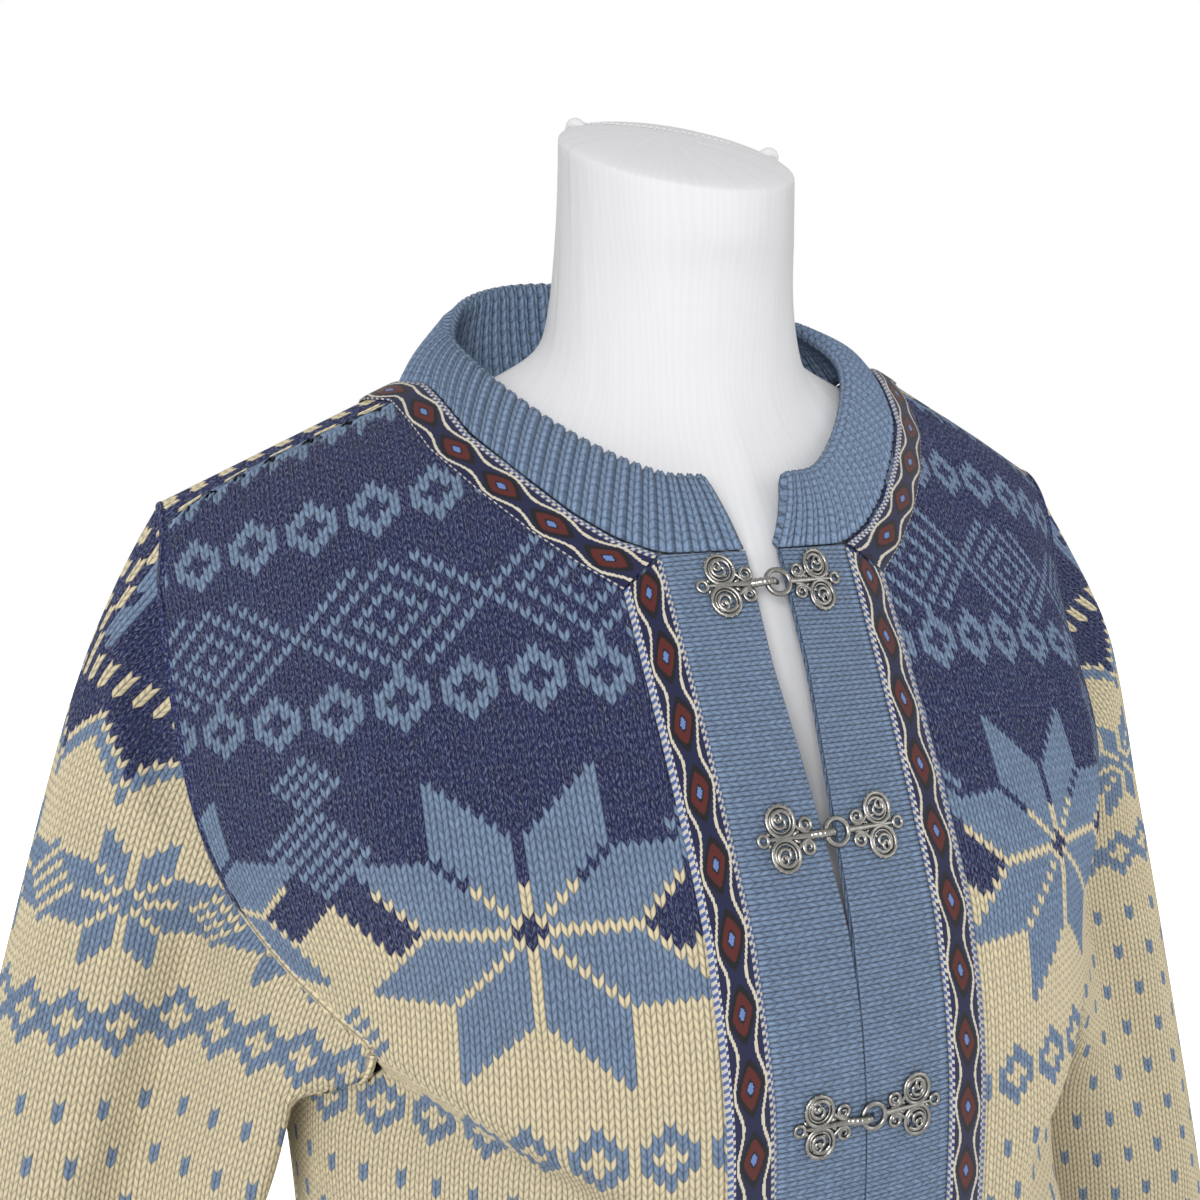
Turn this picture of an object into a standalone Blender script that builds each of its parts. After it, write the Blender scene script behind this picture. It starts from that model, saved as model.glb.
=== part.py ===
"""Knitted cardigan with saddle shoulders, worn by a limbless tabletop dress form.

Metres, +Z up. The front faces -Y and the wearer's left is at +X. The origin is
the centre of the form's flat underside, on which the whole part stands.
side is +1 for the wearer's left (+X) and -1 for the wearer's right.
"""

import math

import bpy
import numpy as np

# Cloth
WALL = 0.0026            # knitted cloth
RIBBON_WALL = 0.0010     # woven ribbon sewn over the edges
COLLAR_WALL = 0.0075     # doubled rib
SEAM_GAP = 0.0004        # between neighbouring pieces
LAID_GAP = 0.0004        # between a ribbon or a clasp and what it lies on

# Heights above the surface that the form stands on
HEM_BOTTOM = 0.055
UNDERARM_Z = 0.400
CHEST_Z = 0.465          # the chest begins to slope to the shoulders
SHOULDER_TIP_X = 0.228   # where the armhole crosses the shoulder strap
SHOULDER_APEX_Z = 0.746  # where both shoulder lines would meet
SHOULDER_SLOPE = 0.468
NECK_POINT_X = 0.1115    # where the neckline crosses the shoulder strap's front edge
NECK_BULGE = 0.0080      # and how much further out it lies on the shoulder's ridge
NECK_SHIFT = -0.0050     # the neck of the garment hangs a little to the wearer's right
STRAP_FRONT = 0.015      # the strap reaches this far before the shoulder's ridge
STRAP_BACK = 0.036       # and this far behind it
LEAN = 0.026             # how far the shoulders lie behind the neck

# Front edge
BAND_SEAM_X = 0.0385
RIBBON_WIDTH = 0.0185
OPENING_CENTRE = -0.0045   # x of the middle of the opening at its top
OPENING_HALF = 0.0075      # half of the opening at its top
OPENING_FROM_Z = 0.43
BAND_TOP_Z = 0.6095

# Knit gauge of the collar rib
COLLAR_RIBS = 98
RIB_RISE = 0.0009

CLASP_Z = (0.5960, 0.502, 0.398, 0.298, 0.198, 0.100)

# Garment: height, half width, front depth and back depth of its outside
TORSO_COLUMNS = ("z", "half_width", "front", "back")
TORSO = (
    (0.055, 0.190, 0.134, 0.128),
    (0.105, 0.189, 0.138, 0.128),
    (0.200, 0.188, 0.143, 0.122),
    (0.300, 0.188, 0.150, 0.114),
    (0.360, 0.191, 0.157, 0.110),
    (0.400, 0.195, 0.160, 0.111),
    (0.430, 0.202, 0.159, 0.112),
    (0.465, 0.217, 0.154, 0.114),
    (0.505, 0.236, 0.151, 0.114),
    (0.560, 0.241, 0.150, 0.112),
    (0.620, 0.248, 0.150, 0.110),
    (0.750, 0.290, 0.150, 0.108),
)
TORSO_POWER = 2.3        # plan of the torso: 2 is an ellipse, more is squarer
TORSO_TOP_POWER = 1.7    # the same, round the neck

# Dress form, in the same columns, up to its armpits
FORM = (
    (0.000, 0.148, 0.100, 0.104),
    (0.060, 0.158, 0.106, 0.112),
    (0.120, 0.155, 0.103, 0.110),
    (0.200, 0.136, 0.094, 0.092),
    (0.260, 0.124, 0.092, 0.080),
    (0.330, 0.131, 0.110, 0.080),
    (0.400, 0.146, 0.134, 0.088),
    (0.440, 0.152, 0.138, 0.092),
    (0.500, 0.160, 0.130, 0.098),
    (0.560, 0.178, 0.138, 0.100),
    (0.610, 0.200, 0.145, 0.106),
    (0.750, 0.236, 0.145, 0.104),
)
FORM_INSET = 0.0034      # form below the garment's outside, on the shoulders
FORM_BASE_FILLET = 0.006

# Neck of the form: height, half width, half depth, y of its centre
NECK_COLUMNS = ("z", "half_width", "half_depth", "centre_y")
NECK = (
    (0.600, 0.080, 0.058, 0.004),
    (0.680, 0.066, 0.057, -0.005),
    (0.715, 0.0575, 0.0555, -0.012),
    (0.755, 0.0535, 0.0540, -0.021),
    (0.800, 0.0520, 0.0530, -0.027),
)
CAP_TILT = math.radians(28)

# Sleeve rings from armhole to wrist: outer and inner edge, half depth, y of centre
SLEEVE_COLUMNS = ("s", "outer_x", "outer_z", "inner_x", "inner_z", "half_depth", "centre_y")
SLEEVE = (
    (0.00, 0.228, 0.640, 0.195, 0.400, 0.050, 0.020),
    (0.06, 0.246, 0.609, 0.198, 0.392, 0.055, 0.024),
    (0.16, 0.267, 0.561, 0.202, 0.380, 0.060, 0.032),
    (0.30, 0.293, 0.480, 0.206, 0.356, 0.060, 0.042),
    (0.50, 0.324, 0.370, 0.222, 0.304, 0.056, 0.050),
    (0.75, 0.355, 0.232, 0.256, 0.204, 0.048, 0.052),
    (1.00, 0.375, 0.112, 0.292, 0.100, 0.038, 0.050),
)
CUFF_FROM = 0.89

# Front armhole seam from underarm to strap: x and z, and rows of the neckline
ARMHOLE_COLUMNS = ("t", "x", "z")
ARMHOLE = (
    (0.00, 0.1950, 0.4000),
    (0.033, 0.1930, 0.4008),
    (0.066, 0.1870, 0.4028),
    (0.10, 0.1770, 0.4070),
    (0.20, 0.1690, 0.4270),
    (0.30, 0.1810, 0.4380),
    (0.40, 0.1970, 0.4550),
    (0.50, 0.2130, 0.4800),
    (0.62, 0.2240, 0.5120),
    (0.75, 0.2290, 0.5540),
    (0.88, 0.2310, 0.5950),
    (1.00, 0.2280, 0.6250),
)
BACK_ARMHOLE = (
    (0.00, 0.1950, 0.4000),
    (0.033, 0.1932, 0.4052),
    (0.066, 0.1913, 0.4105),
    (0.10, 0.1900, 0.4160),
    (0.20, 0.1900, 0.4330),
    (0.30, 0.1940, 0.4520),
    (0.40, 0.2000, 0.4720),
    (0.50, 0.2070, 0.4950),
    (0.62, 0.2140, 0.5250),
    (0.75, 0.2200, 0.5600),
    (0.88, 0.2250, 0.5950),
    (1.00, 0.2280, 0.6250),
)
NECKLINE_COLUMNS = ("x", "z")
FRONT_NECKLINE = (
    (0.0000, 0.6095),
    (0.0420, 0.6100),
    (0.0570, 0.6165),
    (0.0715, 0.6275),
    (0.0870, 0.6440),
    (0.1020, 0.6620),
    (0.1115, 0.6740),
)
BACK_NECKLINE = (
    (0.0000, 0.6800),
    (0.0400, 0.6805),
    (0.0800, 0.6820),
    (0.1115, 0.6800),
)

# Folds: a line from (x0, z0) to (x1, z1) as seen from the front or the back,
# its half width across, its height, and how far a step drops below the line
FOLD_COLUMNS = ("piece", "face", "x0", "z0", "x1", "z1", "half", "height", "step")
FOLDS = (
    ("body", -1, -0.175, 0.432, -0.085, 0.380, 0.014, 0.003, -0.018),
    ("body", -1, -0.170, 0.520, -0.110, 0.440, 0.014, 0.004, 0.0),
    ("body", -1, -0.160, 0.300, -0.090, 0.140, 0.020, 0.007, 0.0),
    ("body", -1, -0.100, 0.320, -0.060, 0.160, 0.016, -0.005, 0.0),
    ("body", -1, 0.175, 0.425, 0.085, 0.360, 0.016, 0.003, -0.010),
    ("body", -1, 0.130, 0.330, 0.110, 0.120, 0.020, 0.007, 0.0),
    ("body", -1, 0.175, 0.560, 0.155, 0.460, 0.012, 0.0035, 0.0),
    ("body", 1, -0.140, 0.400, -0.110, 0.120, 0.022, 0.008, 0.0),
    ("body", 1, 0.020, 0.360, 0.030, 0.100, 0.022, 0.007, 0.0),
    ("body", 1, 0.130, 0.400, 0.110, 0.120, 0.022, 0.008, 0.0),
)

# Folds of the sleeves: a line from (s0, angle0) to (s1, angle1) in degrees round the
# sleeve (0 inner, 90 front, 180 outer), half width in degrees, and how it moves the cloth
SLEEVE_FOLD_COLUMNS = ("side", "s0", "angle0", "s1", "angle1", "half", "dx", "dy")
SLEEVE_FOLDS = (
    (-1, 0.06, 34, 0.52, 44, 22, 0.010, -0.046),
    (-1, 0.08, 80, 0.60, 84, 13, 0.000, 0.016),
    (-1, 0.35, 130, 0.90, 110, 20, 0.004, -0.006),
    (-1, 0.30, 250, 0.90, 240, 22, 0.000, -0.010),
    (1, 0.06, 34, 0.50, 44, 22, -0.006, -0.034),
    (1, 0.08, 78, 0.60, 84, 14, 0.000, 0.010),
    (1, 0.35, 120, 0.90, 100, 20, -0.003, -0.006),
    (1, 0.30, 250, 0.90, 240, 22, 0.000, -0.010),
)


def table(rows, names, x):
    """Values of a table at x, on a smooth curve through its rows."""
    data = np.array(rows, float)
    xs = data[:, 0]
    x = np.clip(np.asarray(x, float), xs[0], xs[-1])
    secant = np.diff(data[:, 1:], axis=0) / np.diff(xs)[:, None]
    slopes = np.vstack([secant[:1], (secant[:-1] + secant[1:]) / 2, secant[-1:]])
    k = np.clip(np.searchsorted(xs, x) - 1, 0, len(xs) - 2)
    h = xs[k + 1] - xs[k]
    t = ((x - xs[k]) / h)[..., None]
    h = h[..., None]
    y0, y1 = data[k, 1:], data[k + 1, 1:]
    m0, m1 = slopes[k] * h, slopes[k + 1] * h
    value = (
        (2 * t**3 - 3 * t**2 + 1) * y0
        + (t**3 - 2 * t**2 + t) * m0
        + (-2 * t**3 + 3 * t**2) * y1
        + (t**3 - t**2) * m1
    )
    return {name: value[..., i] for i, name in enumerate(names[1:])}


def ease(x, low, high):
    """0 below low, 1 above high, smooth between."""
    t = np.clip((np.asarray(x, float) - low) / (high - low), 0, 1)
    return t * t * (3 - 2 * t)


def unit(v):
    return v / np.maximum(np.linalg.norm(v, axis=-1, keepdims=True), 1e-12)


def shell_y(x, z, face, rows=TORSO, drop=0.0):
    """Depth of a torso at (x, z): face -1 is the front and +1 the back."""
    x, z = np.broadcast_arrays(np.abs(np.asarray(x, float)), np.asarray(z, float))
    size = table(rows, TORSO_COLUMNS, z)
    depth = size["front"] if face < 0 else size["back"]
    around = np.clip(x / size["half_width"], 0, 1)
    power = TORSO_POWER + (TORSO_TOP_POWER - TORSO_POWER) * ease(z, 0.47, 0.60)
    ring = (1 - around**power) ** (1 / power)
    rise = SHOULDER_APEX_Z - drop - SHOULDER_SLOPE * x - CHEST_Z
    w = np.clip((z - CHEST_Z) / rise, 0, 1)
    if face < 0:
        p = 1.2 + 0.5 * ease(x, 0.12, 0.20)
        q = 1.62 + 0.3 * ease(x, 0.12, 0.20)
    else:
        p, q = 1.9, 2.0
    return face * depth * ring * (1 - w**p) ** (1 / q)


def fold(piece, x, z, face):
    """Height of the folds at (x, z) above the plain surface."""
    total = np.zeros(np.broadcast(x, z).shape)
    for row in FOLDS:
        f = dict(zip(FOLD_COLUMNS, row))
        if f["piece"] != piece or f["face"] != face:
            continue
        a = np.array([f["x0"], f["z0"]])
        d = np.array([f["x1"], f["z1"]]) - a
        length = math.hypot(*d)
        d = d / length
        along = ((x - a[0]) * d[0] + (z - a[1]) * d[1]) / length
        across = (x - a[0]) * d[1] - (z - a[1]) * d[0]
        if d[0] > 0:
            across = -across
        # across is positive above the line for lines that run outward and down
        ends = ease(along, -0.15, 0.2) * (1 - ease(along, 0.8, 1.15))
        total = total + ends * f["height"] * np.exp(-((across / f["half"]) ** 2))
        if f["step"]:
            below = ease(-across, -0.2 * f["half"], 1.6 * f["half"])
            fade = 1 - ease(-across, 3 * f["half"], 9 * f["half"])
            total = total + ends * f["step"] * below * fade
    return total


def body_point(x, z, face):
    """Outside of the garment's body at (x, z), folds included."""
    x = np.asarray(x, float)
    y = shell_y(x, z, face)
    size = table(TORSO, TORSO_COLUMNS, z)
    depth = size["front"] if face < 0 else size["back"]
    normal = unit(np.stack([x / size["half_width"] ** 2, y / depth**2, 0 * x], -1))
    calm = 1 - ease(np.abs(x) / size["half_width"], 0.86, 0.99)
    calm = calm * ease(np.abs(x), 0.030, 0.065) if face < 0 else calm
    calm = calm * (1 - ease(z, 0.56, 0.62))
    lift = fold("body", x, z, face) * calm
    point = np.stack([x, y, z + 0 * x], -1) + normal * lift[..., None]
    return leaned(point)


def leaned(point):
    """Sides and shoulders lie a little behind the front."""
    point = np.array(point, float)
    point[..., 1] += LEAN * ease(np.abs(point[..., 0]), 0.08, 0.24)
    return point


def strap_z(x, face):
    """Height at which the body meets the strap, at x."""
    low = np.full(np.shape(x), CHEST_Z + 0.02)
    high = SHOULDER_APEX_Z - SHOULDER_SLOPE * np.abs(x) - 1e-6
    for _ in range(40):
        mid = (low + high) / 2
        out = np.abs(shell_y(x, mid, face)) > (STRAP_FRONT if face < 0 else STRAP_BACK)
        low, high = np.where(out, mid, low), np.where(out, high, mid)
    return (low + high) / 2


def armhole(t, face):
    """Armhole seam in (x, z), from the underarm at t = 0 to the strap at t = 1."""
    seam = table(ARMHOLE if face < 0 else BACK_ARMHOLE, ARMHOLE_COLUMNS, t)
    end = strap_z(np.array([SHOULDER_TIP_X]), face)[0]
    z = seam["z"] + (end - ARMHOLE[-1][2]) * ease(t, 0.6, 1.0)
    return seam["x"], z


def edge_x(z, side):
    """x of the front opening's edge at height z."""
    half = SEAM_GAP / 2 + (OPENING_HALF - SEAM_GAP / 2) * ease(z, OPENING_FROM_Z, 0.66) * 1.6
    middle = OPENING_CENTRE * ease(z, OPENING_FROM_Z, BAND_TOP_Z)
    return middle + side * np.minimum(half, OPENING_HALF)


def corner_columns(n):
    """Column positions from 0 to 1, closer together towards 1."""
    return np.sin(np.linspace(0, math.pi / 2, n + 1))


LOWER_Z = (0.055, 0.105, 0.142, 0.180, 0.216, 0.250, 0.282, 0.310, 0.334, 0.356, 0.378, UNDERARM_Z)
T_ROWS = np.array([row[0] for row in ARMHOLE])
FRONT_COLUMNS = 11
BACK_COLUMNS = 9


def ring_edge(z):
    """x of the side seam at height z."""
    return table(TORSO, TORSO_COLUMNS, z)["half_width"]


def neck_point(side):
    """x of the corner between neckline and strap, positive on either side."""
    return NECK_POINT_X + side * NECK_SHIFT


def neck_rows(rows, side, face):
    """Rows of a neckline table from the band to the strap, for one side."""
    line = np.array(rows, float)
    line[:, 0] += side * NECK_SHIFT
    line[-1] = [neck_point(side), strap_z(np.array([neck_point(side)]), face)[0]]
    return line


def front_left_edge(t, side):
    """Band seam, then neckline: (x, z) at share t of its length."""
    neck = neck_rows(FRONT_NECKLINE[1:], side, -1)
    line = np.vstack([[BAND_SEAM_X, UNDERARM_Z], neck])
    run = np.concatenate([[0], np.cumsum(np.linalg.norm(np.diff(line, axis=0), axis=1))])
    # the corner stays on a row
    corner = run[1] / run[-1]
    row = T_ROWS[front_corner_row()]
    t = np.asarray(t, float)
    share = np.where(t < row, t / row * corner, corner + (t - row) / (1 - row) * (1 - corner))
    return np.interp(share * run[-1], run, line[:, 0]), np.interp(share * run[-1], run, line[:, 1])


def front_grid(side):
    """Front panel, rows from hem to shoulder, columns from band seam to side."""
    u = corner_columns(FRONT_COLUMNS)
    grid = []
    for z in LOWER_Z[:-1]:
        width = ring_edge(z)
        x = BAND_SEAM_X + (width - BAND_SEAM_X) * u
        grid.append(body_point(side * x, z + 0 * x, -1))
    tip_z = strap_z(np.array([SHOULDER_TIP_X]), -1)[0]
    for t in T_ROWS:
        lx, lz = front_left_edge(t, side)
        rx, rz = armhole(np.array(t), -1)
        x = lx + (rx - lx) * u
        top_x = neck_point(side) + (SHOULDER_TIP_X - neck_point(side)) * u
        top_z = strap_z(top_x, -1)
        plain = top_z[0] + (tip_z - top_z[0]) * u
        z = lz + (rz - lz) * u + t * (top_z - plain)
        grid.append(body_point(side * x, z, -1))
    return np.array(grid)


def back_top(u, side):
    """Top of the back over half its width: neckline, then strap edge."""
    point = neck_point(side)
    beyond = (u - U_NECK) / (1 - U_NECK)
    x = np.where(u <= U_NECK, point * u / U_NECK, point + (SHOULDER_TIP_X - point) * beyond)
    neck = table(BACK_NECKLINE, NECKLINE_COLUMNS, np.minimum(x, NECK_POINT_X))["z"]
    at_point = strap_z(np.array([point]), 1)[0]
    neck = neck + (at_point - BACK_NECKLINE[-1][1]) * ease(x, 0.06, point)
    return x, np.where(u <= U_NECK, neck, strap_z(np.maximum(x, point), 1))


U_BACK = corner_columns(BACK_COLUMNS)
U_NECK = U_BACK[4]


def back_grid():
    """Back panel, rows from hem to shoulder, columns from right to left."""
    u = np.concatenate([-U_BACK[:0:-1], U_BACK])
    grid = []
    for z in LOWER_Z[:-1]:
        width = ring_edge(z)
        grid.append(body_point(width * u, z + 0 * u, 1))
    right_x, right_z = back_top(np.abs(u), -1)
    left_x, left_z = back_top(np.abs(u), 1)
    top_x = np.where(u < 0, right_x, left_x)
    top_z = np.where(u < 0, right_z, left_z)
    for t in T_ROWS:
        rx, rz = armhole(np.array(t), 1)
        ex, ez = armhole(np.array(1.0), 1)
        straight = np.abs(u) * rx
        x = np.sign(u) * (straight + (top_x * rx / ex - straight) * t)
        own = rz - UNDERARM_Z - t * (ez - UNDERARM_Z)
        z = UNDERARM_Z + t * (top_z - UNDERARM_Z) + np.abs(u) ** 3 * own
        grid.append(body_point(x, z, 1))
    return np.array(grid)


STRAP_ACROSS = 4


def strap_neck_x(side, b):
    """x of the strap's neck edge, b from -1 at its front edge to +1 at its back edge."""
    return neck_point(side) + NECK_BULGE * (1 - b * b)


def strap_point(x, b):
    """Strap at x, b from -1 at its front edge to +1 at its back edge."""
    zf, zb = strap_z(x, -1), strap_z(x, 1)
    top = SHOULDER_APEX_Z - SHOULDER_SLOPE * np.abs(x)
    z = np.where(b < 0, top - (top - zf) * np.abs(b) ** 2, top - (top - zb) * np.abs(b) ** 2)
    y = np.where(b < 0, STRAP_FRONT, STRAP_BACK) * b
    return leaned(np.stack([x, y + 0 * x, z], -1))


def sleeve_ring(s, angle):
    """Plain sleeve ring at s: angle 0 is the underarm side, pi the outer side."""
    size = table(SLEEVE, SLEEVE_COLUMNS, s)
    outer = np.stack([size["outer_x"], 0 * s, size["outer_z"]], -1)
    inner = np.stack([size["inner_x"], 0 * s, size["inner_z"]], -1)
    c, k = np.cos(angle), np.sin(angle)
    power = 2 / 2.2
    c = np.sign(c) * np.abs(c) ** power
    k = np.sign(k) * np.abs(k) ** power
    middle = (outer + inner) / 2
    point = middle - (outer - inner) / 2 * c[..., None]
    point[..., 1] = size["centre_y"] - size["half_depth"] * k
    return point


STRAP_ANGLES = math.radians(162), math.radians(222)   # where the strap joins the sleeve's rings


def sleeve_loop():
    """Loop of (kind, parameter, angle) round the armhole: front up, strap, back down."""
    low, high = STRAP_ANGLES
    front = [("front", t, t * low) for t in T_ROWS[:-1]]
    strap = [("strap", b, (low + high + b * (high - low)) / 2) for b in np.linspace(-1, 1, STRAP_ACROSS + 1)]
    back = [("back", t, 2 * math.pi - t * (2 * math.pi - high)) for t in T_ROWS[::-1][1:-1]]
    return front + strap + back


def armhole_point(kind, value):
    if kind == "strap":
        return strap_point(np.array(SHOULDER_TIP_X), np.array(value))
    face = -1 if kind == "front" else 1
    x, z = armhole(np.array(value), face)
    return body_point(x, z, face)


def sleeve_fold(side, s, angle):
    """How the folds move the sleeve at s, for +X outward."""
    total = np.zeros((len(angle), 3))
    degrees = np.degrees(angle)
    for row in SLEEVE_FOLDS:
        f = dict(zip(SLEEVE_FOLD_COLUMNS, row))
        if f["side"] != side:
            continue
        along = (s - f["s0"]) / (f["s1"] - f["s0"])
        middle = f["angle0"] + (f["angle1"] - f["angle0"]) * np.clip(along, 0, 1)
        ends = ease(along, -0.15, 0.25) * (1 - ease(along, 0.6, 1.3))
        across = np.abs((degrees - middle + 180) % 360 - 180)
        total += np.outer(ends * np.exp(-((across / f["half"]) ** 2)), [f["dx"] * side, f["dy"], 0])
    return total


def beside_body(point, clear, side):
    """Moves sleeve points that would lie inside the body out to its side."""
    x = np.abs(point[:, 0])
    lean = LEAN * ease(x, 0.08, 0.24)
    y = point[:, 1] - lean
    size = table(TORSO, TORSO_COLUMNS, point[:, 2])
    depth = np.where(y < 0, size["front"], size["back"])
    power = TORSO_POWER
    reach = ((x / size["half_width"]) ** power + (np.abs(y) / depth) ** power) ** (1 / power)
    wanted = 1 + clear / size["half_width"]
    grow = np.maximum(wanted / np.maximum(reach, 0.2), 1.0)
    grow = 1 + (grow - 1) * (1 - ease(point[:, 2], UNDERARM_Z + 0.02, UNDERARM_Z + 0.05))
    out = point.copy()
    out[:, 0] = np.sign(point[:, 0]) * x * grow
    out[:, 1] = y * grow + lean
    # the body's own folds
    for face in (-1, 1):
        near = (out[:, 1] * face > lean * face) & (np.abs(out[:, 0]) < size["half_width"] - 0.001)
        near &= out[:, 2] < UNDERARM_Z + 0.04
        if near.any():
            cloth_y = body_point(out[near, 0] * side, out[near, 2], face)[:, 1]
            out[near, 1] = face * np.maximum(out[near, 1] * face, cloth_y * face + clear)
    return out


def sleeve_points(side, s_list):
    """Sleeve rings at each s, in the order of sleeve_loop."""
    loop = sleeve_loop()
    seam = np.array([armhole_point(kind, value) for kind, value, _ in loop])
    angle = np.array([a for _, _, a in loop])
    first = sleeve_ring(np.zeros(len(loop)), angle)
    rings = []
    for s in s_list:
        ring = sleeve_ring(np.full(len(loop), s), angle)
        hold = 1 - ease(s, 0.0, 0.16)
        point = ring + (seam - first) * hold
        point = point + sleeve_fold(side, s, angle) * ease(s, 0.0, 0.09)
        if s > 0:
            point = beside_body(point, 0.0020 + 0.0030 * float(ease(s, 0.0, 0.05)), side)
        point[:, 0] *= side
        rings.append(point)
    return np.array(rings)


SLEEVE_S = (0.0, 0.02, 0.05, 0.09, 0.13, 0.18, 0.23, 0.29, 0.35, 0.42, 0.50, 0.58, 0.67, 0.78, CUFF_FROM)
CUFF_S = (CUFF_FROM, 0.94, 1.0)


class Cloth:
    """Quads of the garment's outside on shared points, cut into named pieces."""

    def __init__(self):
        self.points, self.index, self.quads = [], {}, {}

    def point(self, p):
        key = tuple(np.round(np.asarray(p) / 2e-6).astype(int))
        for dx in (0, 1, -1):
            for dy in (0, 1, -1):
                for dz in (0, 1, -1):
                    near = (key[0] + dx, key[1] + dy, key[2] + dz)
                    if near in self.index:
                        return self.index[near]
        self.index[key] = len(self.points)
        self.points.append(np.array(p, float))
        return self.index[key]

    def grid(self, piece, grid, closed=False, flip=False):
        ids = [[self.point(p) for p in row] for row in grid]
        if closed:
            ids = [row + row[:1] for row in ids]
        for r in range(len(ids) - 1):
            for c in range(len(ids[0]) - 1):
                quad = [ids[r][c], ids[r][c + 1], ids[r + 1][c + 1], ids[r + 1][c]]
                quad = [q for i, q in enumerate(quad) if q != quad[i - 1]]
                if len(quad) < 3:
                    continue
                self.quads.setdefault(piece, []).append(quad[::-1] if flip else quad)

    def triangles(self, piece):
        out = []
        for quad in self.quads[piece]:
            if len(quad) == 3:
                out.append(quad)
                continue
            a, b, c, d = quad
            p = [self.points[i] for i in quad]
            if np.linalg.norm(p[0] - p[2]) <= np.linalg.norm(p[1] - p[3]):
                out += [[a, b, c], [a, c, d]]
            else:
                out += [[a, b, d], [b, c, d]]
        return out

    def normals(self, pieces=None):
        total = np.zeros((len(self.points), 3))
        points = np.array(self.points)
        for piece in pieces or self.quads:
            for tri in self.triangles(piece):
                p = points[tri]
                n = np.cross(p[1] - p[0], p[2] - p[0])
                for k in range(3):
                    e1, e2 = unit(p[(k + 1) % 3] - p[k]), unit(p[(k + 2) % 3] - p[k])
                    total[tri[k]] += unit(n) * math.acos(float(np.clip(e1 @ e2, -1, 1)))
        total[np.linalg.norm(total, axis=1) < 1e-9] = (0, 0, 1)
        return unit(total)

    def solid(self, piece, normals, wall):
        """Closed body of one piece, its outline drawn in by half the seam gap."""
        tris = self.triangles(piece)
        points = np.array(self.points)
        used = sorted({i for tri in tris for i in tri})
        place = {i: k for k, i in enumerate(used)}
        edges = {}
        for tri in tris:
            for k in range(3):
                edges[(tri[k], tri[(k + 1) % 3])] = True
        rim = [(a, b) for a, b in edges if (b, a) not in edges]
        gap = SEAM_GAP * (1.6 if piece.startswith("sleeve") else 0.5)
        draw = {}
        for a, b in rim:
            for i in (a, b):
                inward = np.cross(normals[i], points[b] - points[a])
                draw.setdefault(i, []).append(unit(inward))
        outer = points[used].copy()
        own = self.normals([piece])
        across = normals[used].copy()
        for i, ways in draw.items():
            mean = unit(np.sum(ways, axis=0))
            share = max(0.5, float(mean @ ways[0]))
            outer[place[i]] += mean * (gap / share)
            # in a sharp crease each piece keeps its own direction and stands back
            crease = float(ease(-float(own[i] @ normals[i]), -0.97, -0.80))
            across[place[i]] = unit(normals[i] + (own[i] - normals[i]) * crease)
            if piece.startswith("sleeve"):
                outer[place[i]] -= own[i] * (SEAM_GAP * 1.2 * crease)
        inner = outer - across * wall
        n = len(used)
        faces = [[place[i] for i in tri] for tri in tris]
        faces += [[place[i] + n for i in tri[::-1]] for tri in tris]
        for a, b in rim:
            a, b = place[a], place[b]
            faces.append([a, a + n, b + n])
            faces.append([a, b + n, b])
        return np.vstack([outer, inner]), faces


def add_mesh(name, points, faces):
    """One closed body as an object of its own, its faces turned outward."""
    points = np.asarray(points, float)
    volume = 0.0
    for f in faces:
        for k in range(1, len(f) - 1):
            volume += np.dot(points[f[0]], np.cross(points[f[k]], points[f[k + 1]]))
    if volume < 0:
        faces = [list(f)[::-1] for f in faces]
    mesh = bpy.data.meshes.new(name)
    mesh.from_pydata([tuple(p) for p in points], [], [tuple(int(i) for i in f) for f in faces])
    mesh.update()
    thing = bpy.data.objects.new(name, mesh)
    bpy.context.scene.collection.objects.link(thing)
    return thing


def side_name(side):
    return "left" if side > 0 else "right"


def build_cloth():
    cloth = Cloth()
    for side in (-1, 1):
        name = side_name(side)
        turn = side > 0
        grid = front_grid(side)
        # columns run outward: the face looks to -Y when they run from -X to +X
        cloth.grid("hem_front_" + name, grid[:2], flip=not turn)
        cloth.grid("front_" + name, grid[1:], flip=not turn)
        rows = []
        for row in grid[: len(LOWER_Z) - 1 + front_corner_row() + 1]:
            z = row[0][2]
            if z > BAND_TOP_Z:
                z = BAND_TOP_Z
            rows.append(row[0])
        band = []
        for p in rows:
            z = p[2]
            inner_x = edge_x(np.array(z), side)
            xs = inner_x + (p[0] - inner_x) * np.array([0.0, 0.5, 1.0])
            line = body_point(xs, z + 0 * xs, -1)
            line[-1] = p
            band.append(line)
        cloth.grid("front_band_" + name, np.array(band), flip=not turn)
        sleeve = sleeve_points(side, SLEEVE_S)
        cloth.grid("sleeve_" + name, sleeve, closed=True, flip=turn)
        cuff = sleeve_points(side, CUFF_S)
        cloth.grid("cuff_" + name, cuff, closed=True, flip=turn)
        # strap: front edge on the front's columns, back edge on the back's
        front_line = grid[-1]
        back_line = back_grid()[-1]
        half = len(back_line) // 2
        back_line = back_line[half + 4 :] if side > 0 else back_line[: half - 3][::-1]
        stitch_strap(cloth, "sleeve_" + name, front_line, back_line, side)
    back = back_grid()
    cloth.grid("hem_back", back[:2], flip=True)
    cloth.grid("back", back[1:], flip=True)
    return cloth


def front_corner_row():
    """Number of the row above the underarm at which the band ends."""
    neck = np.array(FRONT_NECKLINE[1:])
    line = np.vstack([[BAND_SEAM_X, UNDERARM_Z], neck])
    run = np.concatenate([[0], np.cumsum(np.linalg.norm(np.diff(line, axis=0), axis=1))])
    return int(np.argmin(np.abs(T_ROWS - run[1] / run[-1])))


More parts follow.
